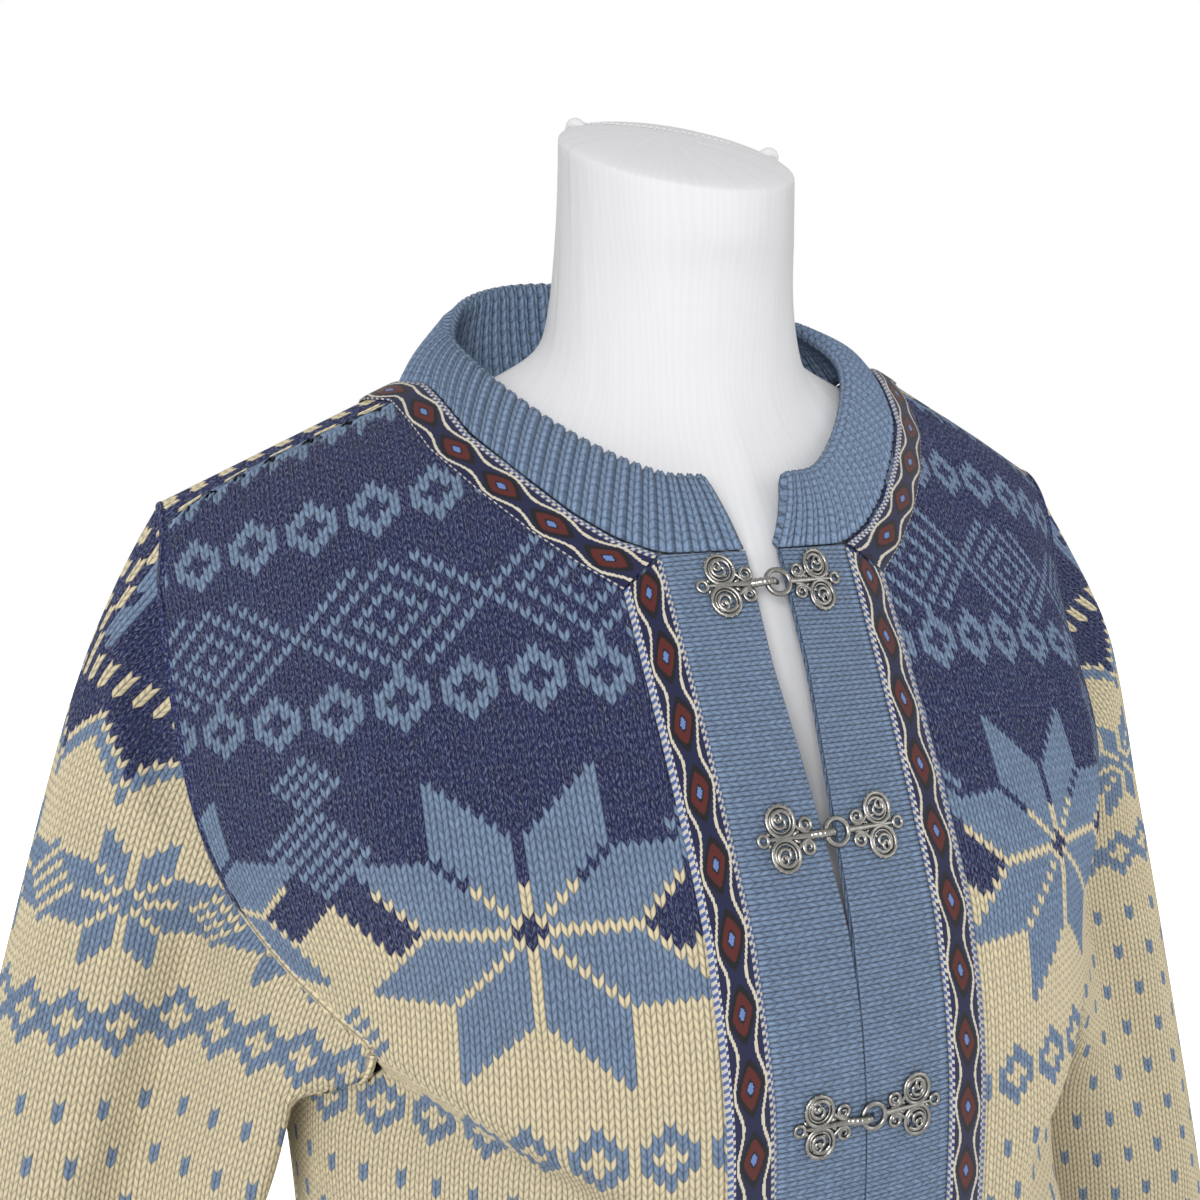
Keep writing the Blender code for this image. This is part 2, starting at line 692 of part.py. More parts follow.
def stitch_strap(cloth, piece, front_line, back_line, side):
    """Strap between the front's shoulder edge and the back's."""
    columns = []
    for b in np.linspace(-1, 1, STRAP_ACROSS + 1)[1:-1]:
        share = (b + 1) / 2
        n = round(len(front_line) + (len(back_line) - len(front_line)) * share)
        x = np.interp(np.linspace(0, 1, n), np.linspace(0, 1, len(front_line)), np.abs(front_line[:, 0]))
        x = x[-1] - (x[-1] - x) * (x[-1] - strap_neck_x(side, b)) / (x[-1] - x[0])
        p = strap_point(x, np.full(n, b))
        p[:, 0] *= side
        columns.append(p)
    columns = [front_line] + columns + [back_line]
    for a, b in zip(columns[:-1], columns[1:]):
        ia = [cloth.point(p) for p in a]
        ib = [cloth.point(p) for p in b]
        i = j = 0
        while i < len(ia) - 1 or j < len(ib) - 1:
            step_a = j == len(ib) - 1 or (
                i < len(ia) - 1 and abs(a[i + 1][0]) <= abs(b[j + 1][0])
            )
            if step_a:
                tri = [ia[i], ia[i + 1], ib[j]]
                i += 1
            else:
                tri = [ia[i], ib[j + 1], ib[j]]
                j += 1
            cloth.quads[piece].append(tri if side > 0 else tri[::-1])


def form_radius(angle, z):
    """Horizontal radius of the torso of the form at height z, by bisection."""
    face = -1 if math.sin(angle) < 0 else 1
    low, high = 0.0, 0.4
    for _ in range(34):
        mid = (low + high) / 2
        x, y = mid * math.cos(angle), mid * math.sin(angle)
        limit = float(shell_y(np.array(x), np.array(z), face, FORM, float(form_drop(x))))
        if abs(y) < abs(limit) or (abs(y) < 1e-9 and abs(x) < form_half_width(z)):
            low = mid
        else:
            high = mid
    return (low + high) / 2


def form_drop(x):
    """How far the form lies below the cloth: close on the shoulders, lower by the collar."""
    return FORM_INSET / math.cos(math.atan(SHOULDER_SLOPE)) + 0.014 * (1 - ease(np.abs(x), 0.112, 0.140))


def form_half_width(z):
    drop = 0.0
    for _ in range(4):
        drop = float(form_drop((SHOULDER_APEX_Z - drop - z) / SHOULDER_SLOPE))
    size = float(table(FORM, TORSO_COLUMNS, np.array(z))["half_width"])
    return min(size, (SHOULDER_APEX_Z - drop - z) / SHOULDER_SLOPE)


FORM_Z = (0.0, 0.006, 0.060, 0.120, 0.190, 0.250, 0.310, 0.360, 0.410, 0.455, 0.500, 0.545,
          0.580, 0.608, 0.630, 0.648, 0.664, 0.680, 0.694, 0.708, 0.722, 0.740, 0.762, 0.785)
FORM_AROUND = 36


def form_ring(z):
    """Ring of the dress form at height z: torso, or neck, whichever is larger."""
    ring = []
    neck = {k: float(v) for k, v in table(NECK, NECK_COLUMNS, np.array(z)).items()}
    blend = 0.006
    for k in range(FORM_AROUND):
        angle = 2 * math.pi * k / FORM_AROUND
        # closer together where the torso turns at its sides
        angle = angle - 0.22 * math.sin(2 * angle)
        c, s = math.cos(angle), math.sin(angle)
        # neck: an ellipse about (0, centre_y), met by the ray from the axis
        a, b, yc = neck["half_width"], neck["half_depth"], neck["centre_y"]
        qa = (c / a) ** 2 + (s / b) ** 2
        qb = -2 * s * yc / b**2
        qc = yc**2 / b**2 - 1
        r_neck = (-qb + math.sqrt(qb * qb - 4 * qa * qc)) / (2 * qa)
        r_torso = form_radius(angle, z) if z < SHOULDER_APEX_Z - 0.01 else 0.0
        if z < 0.60:
            r = r_torso
        else:
            m = max(r_torso, r_neck)
            r = m + blend * math.log(math.exp((r_torso - m) / blend) + math.exp((r_neck - m) / blend))
            r = r_torso + (r - r_torso) * float(ease(z, 0.60, 0.64)) if r_torso > r_neck + 0.02 else r
            # resting places keep their distance from the cloth
            if r_torso > r_neck + 0.025:
                r = r_torso
        if z < 0.003:
            r -= FORM_BASE_FILLET * 0.6
        ring.append([r * c, r * s, z])
    ring = leaned(np.array(ring))
    lean = ease(z, 0.715, 0.785)
    ring[:, 2] += lean * math.tan(CAP_TILT) * (ring[:, 1] - neck["centre_y"])
    return ring


def form_solid():
    rings = [form_ring(z) for z in FORM_Z]
    top = rings[-1]
    middle = top.mean(axis=0)
    lift = np.array([0, -math.sin(CAP_TILT), math.cos(CAP_TILT)])
    rings.append(middle + (top - middle) * 0.94 + lift * 0.0035)
    rings.append(middle + (top - middle) * 0.55 + lift * 0.0060)
    points = np.vstack(rings + [[[0, 0, 0]], [middle + lift * 0.0065]])
    n = FORM_AROUND
    faces = []
    for r in range(len(rings) - 1):
        for k in range(n):
            a, b = r * n + k, r * n + (k + 1) % n
            faces.append([a, b, b + n, a + n])
    low, high = len(points) - 2, len(points) - 1
    last = (len(rings) - 1) * n
    for k in range(n):
        faces.append([low, (k + 1) % n, k])
        faces.append([high, last + k, last + (k + 1) % n])
    # quads of a warped ring are split so that each face is flat
    flat = []
    for f in faces:
        flat += [f] if len(f) == 3 else [[f[0], f[1], f[2]], [f[0], f[2], f[3]]]
    return points, flat


def neckline_half(side):
    """Neckline of one side from the opening's edge to the middle of the back."""
    edge = front_grid(side)[len(LOWER_Z) - 1 + front_corner_row() :, 0]
    start = float(edge_x(np.array(BAND_TOP_Z), side))
    x = start + (edge[0, 0] - start) * np.linspace(0, 1, 5)[:-1]
    line = [body_point(x, np.full(4, edge[0, 2]), -1), edge]
    b = np.array([-0.6, -0.2, 0.2, 0.6])
    ridge = strap_point(strap_neck_x(side, b), b)
    line.append(ridge * [side, 1, 1])
    u = np.linspace(U_NECK, 0, 9)
    bx, bz = back_top(u, side)
    line.append(body_point(side * bx, bz, 1))
    return np.vstack(line)


def neckline(n):
    """Neckline from the right edge of the opening round the back to the left edge."""
    whole = np.vstack([neckline_half(-1), neckline_half(1)[::-1][1:]])
    run = np.concatenate([[0], np.cumsum(np.linalg.norm(np.diff(whole, axis=0), axis=1))])
    at = np.linspace(0, run[-1], n + 1)
    path = np.stack([np.interp(at, run, whole[:, k]) for k in range(3)], -1)
    for _ in range(2):
        path[1:-1] = (path[:-2] + 2 * path[1:-1] + path[2:]) / 4
    return path


# Collar's top edge over half its length: share of the way from the front corner to
# the middle of the back, x, y and z of the top of its outside
COLLAR_TOP_COLUMNS = ("q", "x", "y", "z")
COLLAR_TOP = (
    (0.00, 0.0190, -0.0930, 0.6410),
    (0.10, 0.0375, -0.0860, 0.6440),
    (0.25, 0.0665, -0.0590, 0.6640),
    (0.42, 0.0930, -0.0200, 0.6960),
    (0.55, 0.0950, 0.0120, 0.7140),
    (0.70, 0.0800, 0.0440, 0.7310),
    (0.85, 0.0480, 0.0680, 0.7420),
    (1.00, 0.0000, 0.0770, 0.7460),
)


def collar_solid():
    """Doubled rib: outside points rise on each rib, the inside is plain."""
    n = 2 * COLLAR_RIBS
    foot = neckline(n)
    share = np.linspace(-1, 1, n + 1)
    top = table(COLLAR_TOP, COLLAR_TOP_COLUMNS, 1 - np.abs(share))
    head = np.stack([np.sign(share) * top["x"], top["y"], top["z"]], -1)
    head[:, 0] += NECK_SHIFT
    rise = head - foot
    rise[:, 2] = np.maximum(rise[:, 2], 0.01)
    along = unit(np.gradient(foot, axis=0) + np.gradient(head, axis=0))
    # inward is towards the neck, square to the collar's own surface
    inward = unit(np.cross(rise, along))
    inward *= np.sign(np.sum(inward * ([0, -0.015, 0] - foot) * [1, 1, 0], axis=1))[:, None]
    up = unit(rise)
    rib = np.where(np.arange(n + 1) % 2 == 0, 1.0, -1.0)[:, None] * RIB_RISE / 2
    rows = []
    foot = foot + up * 0.0014
    for h, wall in ((0.0, 0.0), (0.16, 1.0), (0.86, 1.0)):
        base = foot + rise * h
        belly = -inward * 0.0025 * math.sin(math.pi * h)
        rows.append(base + belly - inward * (rib * wall - RIB_RISE / 2 * wall))
    rows.append(foot + rise * 0.98 + inward * COLLAR_WALL * 0.45)
    for h, wall in ((0.84, 1.0), (0.17, 1.0), (0.0, 0.30)):
        belly = -inward * 0.0025 * math.sin(math.pi * h)
        rows.append(foot + rise * h + inward * COLLAR_WALL * wall + belly)
    points = np.vstack(rows)
    m, k = len(rows), n + 1
    faces = []
    for r in range(m):
        a, b = r * k, ((r + 1) % m) * k
        for c in range(n):
            faces.append([a + c, a + c + 1, b + c + 1])
            faces.append([a + c, b + c + 1, b + c])
    for c in (0, n):
        ring = [r * k + c for r in range(m)]
        middle = points[ring].mean(axis=0)
        points = np.vstack([points, middle])
        centre = len(points) - 1
        for r in range(m):
            tri = [ring[r], ring[(r + 1) % m], centre]
            faces.append(tri if c == 0 else tri[::-1])
    return points, faces


def surface_normal(x, z, face=-1):
    e = 0.0005
    dx = body_point(x + e, z, face) - body_point(x - e, z, face)
    dz = body_point(x, z + e, face) - body_point(x, z - e, face)
    n = unit(np.cross(dx, dz))
    return n * np.where(n[..., 1:2] * face > 0, 1, -1)


def laid_strip(left, right, normals, wall, lift=LAID_GAP):
    """Closed strip laid on the cloth, from two edge lines and their normals."""
    n = len(left)
    low = np.vstack([left, right]) + np.vstack(normals) * lift
    high = low + np.vstack(normals) * wall
    points = np.vstack([low, high])
    faces = []
    for k in range(n - 1):
        a, b, c, d = k, k + 1, n + k, n + k + 1
        faces += [[a, c, d], [a, d, b]]
        a, b, c, d = a + 2 * n, b + 2 * n, c + 2 * n, d + 2 * n
        faces += [[a, d, c], [a, b, d]]
    for row in (0, n):
        for k in range(n - 1):
            a, b = row + k, row + k + 1
            quad = [a, b, b + 2 * n, a + 2 * n]
            if row == n:
                quad = quad[::-1]
            faces += [[quad[0], quad[1], quad[2]], [quad[0], quad[2], quad[3]]]
    for k in (0, n - 1):
        quad = [k, n + k, 3 * n + k, 2 * n + k]
        if k == 0:
            quad = quad[::-1]
        faces += [[quad[0], quad[1], quad[2]], [quad[0], quad[2], quad[3]]]
    return points, faces


# Outer edge of the neck ribbon: x and z, on the front from the corner to the strap,
# and on the back from the strap to the middle
FRONT_RIBBON_EDGE = (
    (0.0585, 0.5965),
    (0.0735, 0.6075),
    (0.0885, 0.6210),
    (0.1040, 0.6380),
    (0.1180, 0.6560),
    (0.1270, 0.6680),
)
BACK_RIBBON_EDGE = (
    (0.0000, 0.6650),
    (0.0500, 0.6650),
    (0.0950, 0.6650),
    (0.1180, 0.6665),
    (0.1270, 0.6680),
)


def front_ribbon(side):
    """Ribbon along the front band's seam, mitred at its upper corner."""
    upper_z = [0.42, 0.44, 0.46, 0.48, 0.50, 0.52, 0.54, 0.56, 0.58, 0.595]
    z = np.array([HEM_BOTTOM + 0.0015] + list(LOWER_Z[1:]) + upper_z)
    share = (z - z[0]) / (z[-1] - z[0])
    corner = FRONT_NECKLINE[1][0] + side * NECK_SHIFT, FRONT_RIBBON_EDGE[0][0] + side * NECK_SHIFT
    z_in = z[0] + share * (FRONT_NECKLINE[1][1] - 0.0022 - z[0])
    z_out = z[0] + share * (FRONT_RIBBON_EDGE[0][1] - 0.0009 - z[0])
    rise = np.clip((z - UNDERARM_Z) / (z[-1] - UNDERARM_Z), 0, 1)
    x_in = side * (BAND_SEAM_X + (corner[0] - BAND_SEAM_X) * rise - 0.0005)
    outer = BAND_SEAM_X - 0.0005 + RIBBON_WIDTH
    x_out = side * (outer + (corner[1] - outer) * rise)
    left, right = body_point(x_in, z_in, -1), body_point(x_out, z_out, -1)
    return laid_strip(left, right, (surface_normal(x_in, z_in), surface_normal(x_out, z_out)), RIBBON_WALL)


def path_at(rows, q):
    line = np.array(rows)
    run = np.concatenate([[0], np.cumsum(np.linalg.norm(np.diff(line, axis=0), axis=1))])
    return np.interp(q * run[-1], run, line[:, 0]), np.interp(q * run[-1], run, line[:, 1])


def strap_normal(x, b):
    e = 0.001
    dx = strap_point(x + e, b) - strap_point(x - e, b)
    db = strap_point(x, b + e) - strap_point(x, b - e)
    n = unit(np.cross(dx, db))
    return n * np.sign(n[..., 2:3])


def neck_ribbon_half(side):
    """Inner and outer edge of one half, from the front corner to the middle of the back."""
    edge = 0.0012
    q = np.linspace(0, 1, 12)[:-1]
    b = np.linspace(-1, 1, 5)
    r = np.linspace(1, 0, 10)[1:]
    rows_in = neck_rows(FRONT_NECKLINE[1:], side, -1)
    rows_out = np.array(FRONT_RIBBON_EDGE) + [side * NECK_SHIFT, 0]
    end_out = rows_out[-1, 0]
    rows_out[-1, 1] = strap_z(rows_out[-1:, 0], -1)[0]
    back_out = np.array(BACK_RIBBON_EDGE) + [side * NECK_SHIFT, 0]
    back_out[-1] = [end_out, strap_z(np.array([end_out]), 1)[0]]
    back_out[0, 0] = 0.0
    fx, fz = path_at(rows_in, q)
    fx, fz = fx + edge * 0.3, fz - edge + 0.0004 * (1 - q)
    gx, gz = path_at(rows_out, q)
    bx, bz = back_top(U_NECK * r, side)
    bz = bz - edge
    cx, cz = path_at(back_out, r)
    bulge = NECK_BULGE * (1 - b * b)
    sx, tx = strap_neck_x(side, b) + edge, end_out + bulge * 1.1
    inner = np.vstack([body_point(fx, fz, -1), strap_point(sx, b), body_point(bx, bz, 1)])
    outer = np.vstack([body_point(gx, gz, -1), strap_point(tx, b), body_point(cx, cz, 1)])
    n_in = np.vstack([surface_normal(fx, fz, -1), strap_normal(sx, b), surface_normal(bx, bz, 1)])
    n_out = np.vstack([surface_normal(gx, gz, -1), strap_normal(tx, b), surface_normal(cx, cz, 1)])
    # one smooth run of normals, so that the ribbon turns over the strap evenly
    for n in (n_in, n_out):
        n[1:-1] = unit(n[:-2] + 2 * n[1:-1] + n[2:])
    flip = np.array([side, 1, 1])
    return [v * flip for v in (inner, outer, n_in, n_out)]


def neck_ribbon():
    """Ribbon round the neck, beside the collar, from one front corner to the other."""
    both = [np.vstack([a, b[::-1][1:]]) for a, b in zip(neck_ribbon_half(-1), neck_ribbon_half(1))]
    return laid_strip(both[0], both[1], (both[2], both[3]), RIBBON_WALL, lift=LAID_GAP + 0.0003)


# Clasps, in metres along the pair from each half's own middle; lobes: along, across, radius
CLASP_WALL = 0.0018
HOOK_X, EYE_X, RING_X = -0.0205, 0.0218, 0.0020
LOBES = (
    (0.0000, 0.0061, 0.0064),
    (0.0000, -0.0061, 0.0064),
    (-0.0090, 0.0000, 0.0030),
    (0.0100, 0.0043, 0.0031),
    (0.0100, -0.0043, 0.0031),
)
TONGUE = (0.012, 0.0210, 0.0020)   # from, to, half width
RING_OUTER, RING_HOLE = 0.0060, 0.0036


def lobe_reach(ox, oy, angle, lobes):
    """How far a ray from (ox, oy) goes before it leaves the last lobe."""
    far = 0.0
    c, s = math.cos(angle), math.sin(angle)
    for x, y, r in lobes:
        along = (x - ox) * c + (y - oy) * s
        off = abs(-(x - ox) * s + (y - oy) * c)
        if off < r and along + math.sqrt(r * r - off * off) > 0:
            far = max(far, along + math.sqrt(r * r - off * off))
    return far


def on_band(x, z, height):
    return body_point(x, z, -1) + surface_normal(x, z) * height[..., None]


def clasp_solid(z0, kind):
    """Half of a clasp, laid on its band: kind is hook (wearer's right) or eye."""
    shift = float(edge_x(np.array(z0), 1) + edge_x(np.array(z0), -1)) / 2
    if kind == "hook":
        fine = np.array([0, 3, 6, 9, 16, 24, 34, 46, 58, 72, 86, 100, 116, 132, 146, 158, 168, 180])
    else:
        fine = np.array([0, 2.5, 5, 8, 12, 17, 22, 27, 31, 34, 38, 60, 85, 110, 135, 160, 180])
    degrees = np.concatenate([fine, 360 - fine[-2:0:-1]])
    n = len(degrees)
    angles = [math.radians(a) for a in degrees]
    if kind == "hook":
        reach = []
        for a in angles:
            r = lobe_reach(0, 0, a, LOBES)
            c, s = abs(math.cos(a)), abs(math.sin(a))
            if math.cos(a) > 0 and TONGUE[1] * s / c < TONGUE[2]:
                r = max(r, TONGUE[1] / c)
            reach.append(max(r, 0.0045))
        ox = HOOK_X
        inner = [0.0] * n
    else:
        gap = EYE_X - RING_X
        lobes = [(gap - x, y, r) for x, y, r in LOBES] + [(0.0065, 0.0, 0.0030)]
        reach = [max(lobe_reach(0, 0, a, lobes), RING_OUTER) for a in angles]
        ox = RING_X
        inner = [RING_HOLE] * n

    def place(radius, height):
        a = np.array(angles)
        x = ox + np.array(radius) * np.cos(a)
        z = z0 + np.array(radius) * np.sin(a)
        base = LAID_GAP + (0.0024 * ease(x - HOOK_X, 0.0125, 0.0155) if kind == "hook" else 0 * x)
        return on_band(x + shift, z, base + height)

    reach = np.array(reach)
    inner = np.array(inner)
    if kind == "hook":
        rows = [place(reach, 0.0), place(reach, CLASP_WALL * 0.75), place(reach * 0.6, CLASP_WALL)]
        mid_low = on_band(np.array([ox + shift]), np.array([z0]), np.array([LAID_GAP]))
        mid_high = on_band(np.array([ox + shift]), np.array([z0]), np.array([LAID_GAP + CLASP_WALL]))
        points = np.vstack(rows + [mid_low, mid_high])
        faces = []
        for r in range(2):
            for k in range(n):
                a, b = r * n + k, r * n + (k + 1) % n
                faces += [[a, b, b + n], [a, b + n, a + n]]
        for k in range(n):
            faces.append([3 * n, (k + 1) % n, k])
            faces.append([3 * n + 1, 2 * n + k, 2 * n + (k + 1) % n])
        return points, faces
    rows = [
        place(inner, 0.0),
        place(reach, 0.0),
        place(reach, CLASP_WALL * 0.75),
        place(inner + (reach - inner) * 0.35, CLASP_WALL),
        place(inner, CLASP_WALL * 0.75),
    ]
    points = np.vstack(rows)
    faces = []
    m = len(rows)
    for r in range(m):
        for k in range(n):
            a, b = r * n + k, r * n + (k + 1) % n
            c, d = ((r + 1) % m) * n + k, ((r + 1) % m) * n + (k + 1) % n
            faces += [[a, b, d], [a, d, c]]
    return points, faces


def main():
    for thing in list(bpy.data.objects):
        bpy.data.objects.remove(thing)
    cloth = build_cloth()
    normals = cloth.normals()
    for piece in cloth.quads:
        points, faces = cloth.solid(piece, normals, WALL)
        add_mesh(piece, points, faces)
    add_mesh("dress_form", *form_solid())
    add_mesh("collar", *collar_solid())
    for side in (-1, 1):
        add_mesh("ribbon_front_" + side_name(side), *front_ribbon(side))
    add_mesh("ribbon_neck", *neck_ribbon())
    for number, z in enumerate(CLASP_Z, 1):
        add_mesh("clasp_%d_hook" % number, *clasp_solid(z, "hook"))
        add_mesh("clasp_%d_eye" % number, *clasp_solid(z, "eye"))


main()
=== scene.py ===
"""Looks of a colourwork cardigan with stand collar, worn by a limbless dress form.

Every knitted piece is a mesh of its own stitches on the garment's surface, with the
colour of each stitch from a chart. side is +1 for the wearer's left (+X), -1 for the
right; face is -1 for the front and +1 for the back.
"""

import math

import bpy
import numpy as np
from mathutils import Matrix, Vector


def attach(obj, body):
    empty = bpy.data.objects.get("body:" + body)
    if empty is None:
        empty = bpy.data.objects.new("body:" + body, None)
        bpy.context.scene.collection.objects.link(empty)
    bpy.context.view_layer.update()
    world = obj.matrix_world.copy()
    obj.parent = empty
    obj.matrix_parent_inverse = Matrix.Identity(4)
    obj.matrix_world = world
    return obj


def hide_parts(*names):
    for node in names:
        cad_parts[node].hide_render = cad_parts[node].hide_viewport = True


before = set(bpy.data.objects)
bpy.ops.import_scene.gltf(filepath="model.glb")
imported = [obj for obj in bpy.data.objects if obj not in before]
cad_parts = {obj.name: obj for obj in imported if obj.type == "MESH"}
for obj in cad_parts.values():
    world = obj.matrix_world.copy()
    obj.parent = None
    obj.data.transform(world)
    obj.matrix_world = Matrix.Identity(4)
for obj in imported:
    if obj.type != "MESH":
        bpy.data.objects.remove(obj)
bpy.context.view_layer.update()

bl_info = {
    "name": "Colourwork cardigan on a dress form",
    "version": (1, 0, 0),
    "blender": (4, 5, 0),
    "location": "View3D > Sidebar > Cardigan",
    "description": "Dresses the packed cardigan with stitches, ribbon, clasps and a form cover",
    "category": "Object",
}

# The garment's surface, as the part has it
WALL = 0.0026            # knitted cloth
COLLAR_WALL = 0.0075     # doubled rib
SEAM_GAP = 0.0004        # between neighbouring pieces
LAID_GAP = 0.0004        # between a ribbon or a clasp and what it lies on
HEM_BOTTOM = 0.055
HEM_TOP = 0.105
UNDERARM_Z = 0.400
CHEST_Z = 0.465          # the chest begins to slope to the shoulders
SHOULDER_TIP_X = 0.228   # where the armhole crosses the shoulder strap
SHOULDER_APEX_Z = 0.746  # where both shoulder lines would meet
SHOULDER_SLOPE = 0.468
NECK_POINT_X = 0.1115    # where the neckline crosses the shoulder strap's front edge
NECK_BULGE = 0.0080      # and how much further out it lies on the shoulder's ridge
NECK_SHIFT = -0.0050     # the neck of the garment hangs a little to the wearer's right
STRAP_FRONT = 0.015      # the strap reaches this far before the shoulder's ridge
STRAP_BACK = 0.036       # and this far behind it
LEAN = 0.026             # how far the shoulders lie behind the neck
BAND_SEAM_X = 0.0385
RIBBON_WIDTH = 0.0185
RIBBON_THICK = 0.0011
RIBBON_TOP_Z = 0.595     # the front ribbons end under the neck ribbon
OPENING_CENTRE = -0.0045   # x of the middle of the opening at its top
OPENING_HALF = 0.0075      # half of the opening at its top
OPENING_FROM_Z = 0.43
BAND_TOP_Z = 0.6095
COLLAR_RIBS = 98
CLASP_Z = (0.5960, 0.502, 0.398, 0.298, 0.198, 0.100)
TORSO_COLUMNS = ("z", "half_width", "front", "back")
TORSO = (
    (0.055, 0.190, 0.134, 0.128),
    (0.105, 0.189, 0.138, 0.128),
    (0.200, 0.188, 0.143, 0.122),
    (0.300, 0.188, 0.150, 0.114),
    (0.360, 0.191, 0.157, 0.110),
    (0.400, 0.195, 0.160, 0.111),
    (0.430, 0.202, 0.159, 0.112),
    (0.465, 0.217, 0.154, 0.114),
    (0.505, 0.236, 0.151, 0.114),
    (0.560, 0.241, 0.150, 0.112),
    (0.620, 0.248, 0.150, 0.110),
    (0.750, 0.290, 0.150, 0.108),
)
TORSO_POWER = 2.3        # plan of the torso: 2 is an ellipse, more is squarer
TORSO_TOP_POWER = 1.7    # the same, round the neck
FORM = (
    (0.000, 0.148, 0.100, 0.104),
    (0.060, 0.158, 0.106, 0.112),
    (0.120, 0.155, 0.103, 0.110),
    (0.200, 0.136, 0.094, 0.092),
    (0.260, 0.124, 0.092, 0.080),
    (0.330, 0.131, 0.110, 0.080),
    (0.400, 0.146, 0.134, 0.088),
    (0.440, 0.152, 0.138, 0.092),
    (0.500, 0.160, 0.130, 0.098),
    (0.560, 0.178, 0.138, 0.100),
    (0.610, 0.200, 0.145, 0.106),
    (0.750, 0.236, 0.145, 0.104),
)
FORM_INSET = 0.0034      # form below the garment's outside, on the shoulders
FORM_BASE_FILLET = 0.006
NECK_COLUMNS = ("z", "half_width", "half_depth", "centre_y")
NECK = (
    (0.600, 0.080, 0.058, 0.004),
    (0.680, 0.066, 0.057, -0.005),
    (0.715, 0.0575, 0.0555, -0.012),
    (0.755, 0.0535, 0.0540, -0.021),
    (0.800, 0.0520, 0.0530, -0.027),
)
CAP_TILT = math.radians(28)
CAP_CROWN = 0.0065       # how high the cap bulges
CAP_SEAM_ANGLES = (152, 325)   # where the cap's row of stitches ends, round its edge
SLEEVE_COLUMNS = ("s", "outer_x", "outer_z", "inner_x", "inner_z", "half_depth", "centre_y")
SLEEVE = (
    (0.00, 0.228, 0.640, 0.195, 0.400, 0.050, 0.020),
    (0.06, 0.246, 0.609, 0.198, 0.392, 0.055, 0.024),
    (0.16, 0.267, 0.561, 0.202, 0.380, 0.060, 0.032),
    (0.30, 0.293, 0.480, 0.206, 0.356, 0.060, 0.042),
    (0.50, 0.324, 0.370, 0.222, 0.304, 0.056, 0.050),
    (0.75, 0.355, 0.232, 0.256, 0.204, 0.048, 0.052),
    (1.00, 0.375, 0.112, 0.292, 0.100, 0.038, 0.050),
)
CUFF_FROM = 0.89
ARMHOLE_COLUMNS = ("t", "x", "z")
ARMHOLE = (
    (0.00, 0.1950, 0.4000),
    (0.033, 0.1930, 0.4008),
    (0.066, 0.1870, 0.4028),
    (0.10, 0.1770, 0.4070),
    (0.20, 0.1690, 0.4270),
    (0.30, 0.1810, 0.4380),
    (0.40, 0.1970, 0.4550),
    (0.50, 0.2130, 0.4800),
    (0.62, 0.2240, 0.5120),
    (0.75, 0.2290, 0.5540),
    (0.88, 0.2310, 0.5950),
    (1.00, 0.2280, 0.6250),
)
BACK_ARMHOLE = (
    (0.00, 0.1950, 0.4000),
    (0.033, 0.1932, 0.4052),
    (0.066, 0.1913, 0.4105),
    (0.10, 0.1900, 0.4160),
    (0.20, 0.1900, 0.4330),
    (0.30, 0.1940, 0.4520),
    (0.40, 0.2000, 0.4720),
    (0.50, 0.2070, 0.4950),
    (0.62, 0.2140, 0.5250),
    (0.75, 0.2200, 0.5600),
    (0.88, 0.2250, 0.5950),
    (1.00, 0.2280, 0.6250),
)
NECKLINE_COLUMNS = ("x", "z")
FRONT_NECKLINE = (
    (0.0000, 0.6095),
    (0.0420, 0.6100),
    (0.0570, 0.6165),
    (0.0715, 0.6275),
    (0.0870, 0.6440),
    (0.1020, 0.6620),
    (0.1115, 0.6740),
)
BACK_NECKLINE = (
    (0.0000, 0.6800),
    (0.0400, 0.6805),
    (0.0800, 0.6820),
    (0.1115, 0.6800),
)
FOLD_COLUMNS = ("face", "x0", "z0", "x1", "z1", "half", "height", "step")
FOLDS = (
    (-1, -0.175, 0.432, -0.085, 0.380, 0.014, 0.003, -0.018),
    (-1, -0.170, 0.520, -0.110, 0.440, 0.014, 0.004, 0.0),
    (-1, -0.160, 0.300, -0.090, 0.140, 0.020, 0.007, 0.0),
    (-1, -0.100, 0.320, -0.060, 0.160, 0.016, -0.005, 0.0),
    (-1, 0.175, 0.425, 0.085, 0.360, 0.016, 0.003, -0.010),
    (-1, 0.130, 0.330, 0.110, 0.120, 0.020, 0.007, 0.0),
    (-1, 0.175, 0.560, 0.155, 0.460, 0.012, 0.0035, 0.0),
    (1, -0.140, 0.400, -0.110, 0.120, 0.022, 0.008, 0.0),
    (1, 0.020, 0.360, 0.030, 0.100, 0.022, 0.007, 0.0),
    (1, 0.130, 0.400, 0.110, 0.120, 0.022, 0.008, 0.0),
)
SLEEVE_FOLD_COLUMNS = ("side", "s0", "angle0", "s1", "angle1", "half", "dx", "dy")
SLEEVE_FOLDS = (
    (-1, 0.06, 34, 0.52, 44, 22, 0.010, -0.046),
    (-1, 0.08, 80, 0.60, 84, 13, 0.000, 0.016),
    (-1, 0.35, 130, 0.90, 110, 20, 0.004, -0.006),
    (-1, 0.30, 250, 0.90, 240, 22, 0.000, -0.010),
    (1, 0.06, 34, 0.50, 44, 22, -0.006, -0.034),
    (1, 0.08, 78, 0.60, 84, 14, 0.000, 0.010),
    (1, 0.35, 120, 0.90, 100, 20, -0.003, -0.006),
    (1, 0.30, 250, 0.90, 240, 22, 0.000, -0.010),
)
COLLAR_TOP_COLUMNS = ("q", "x", "y", "z")
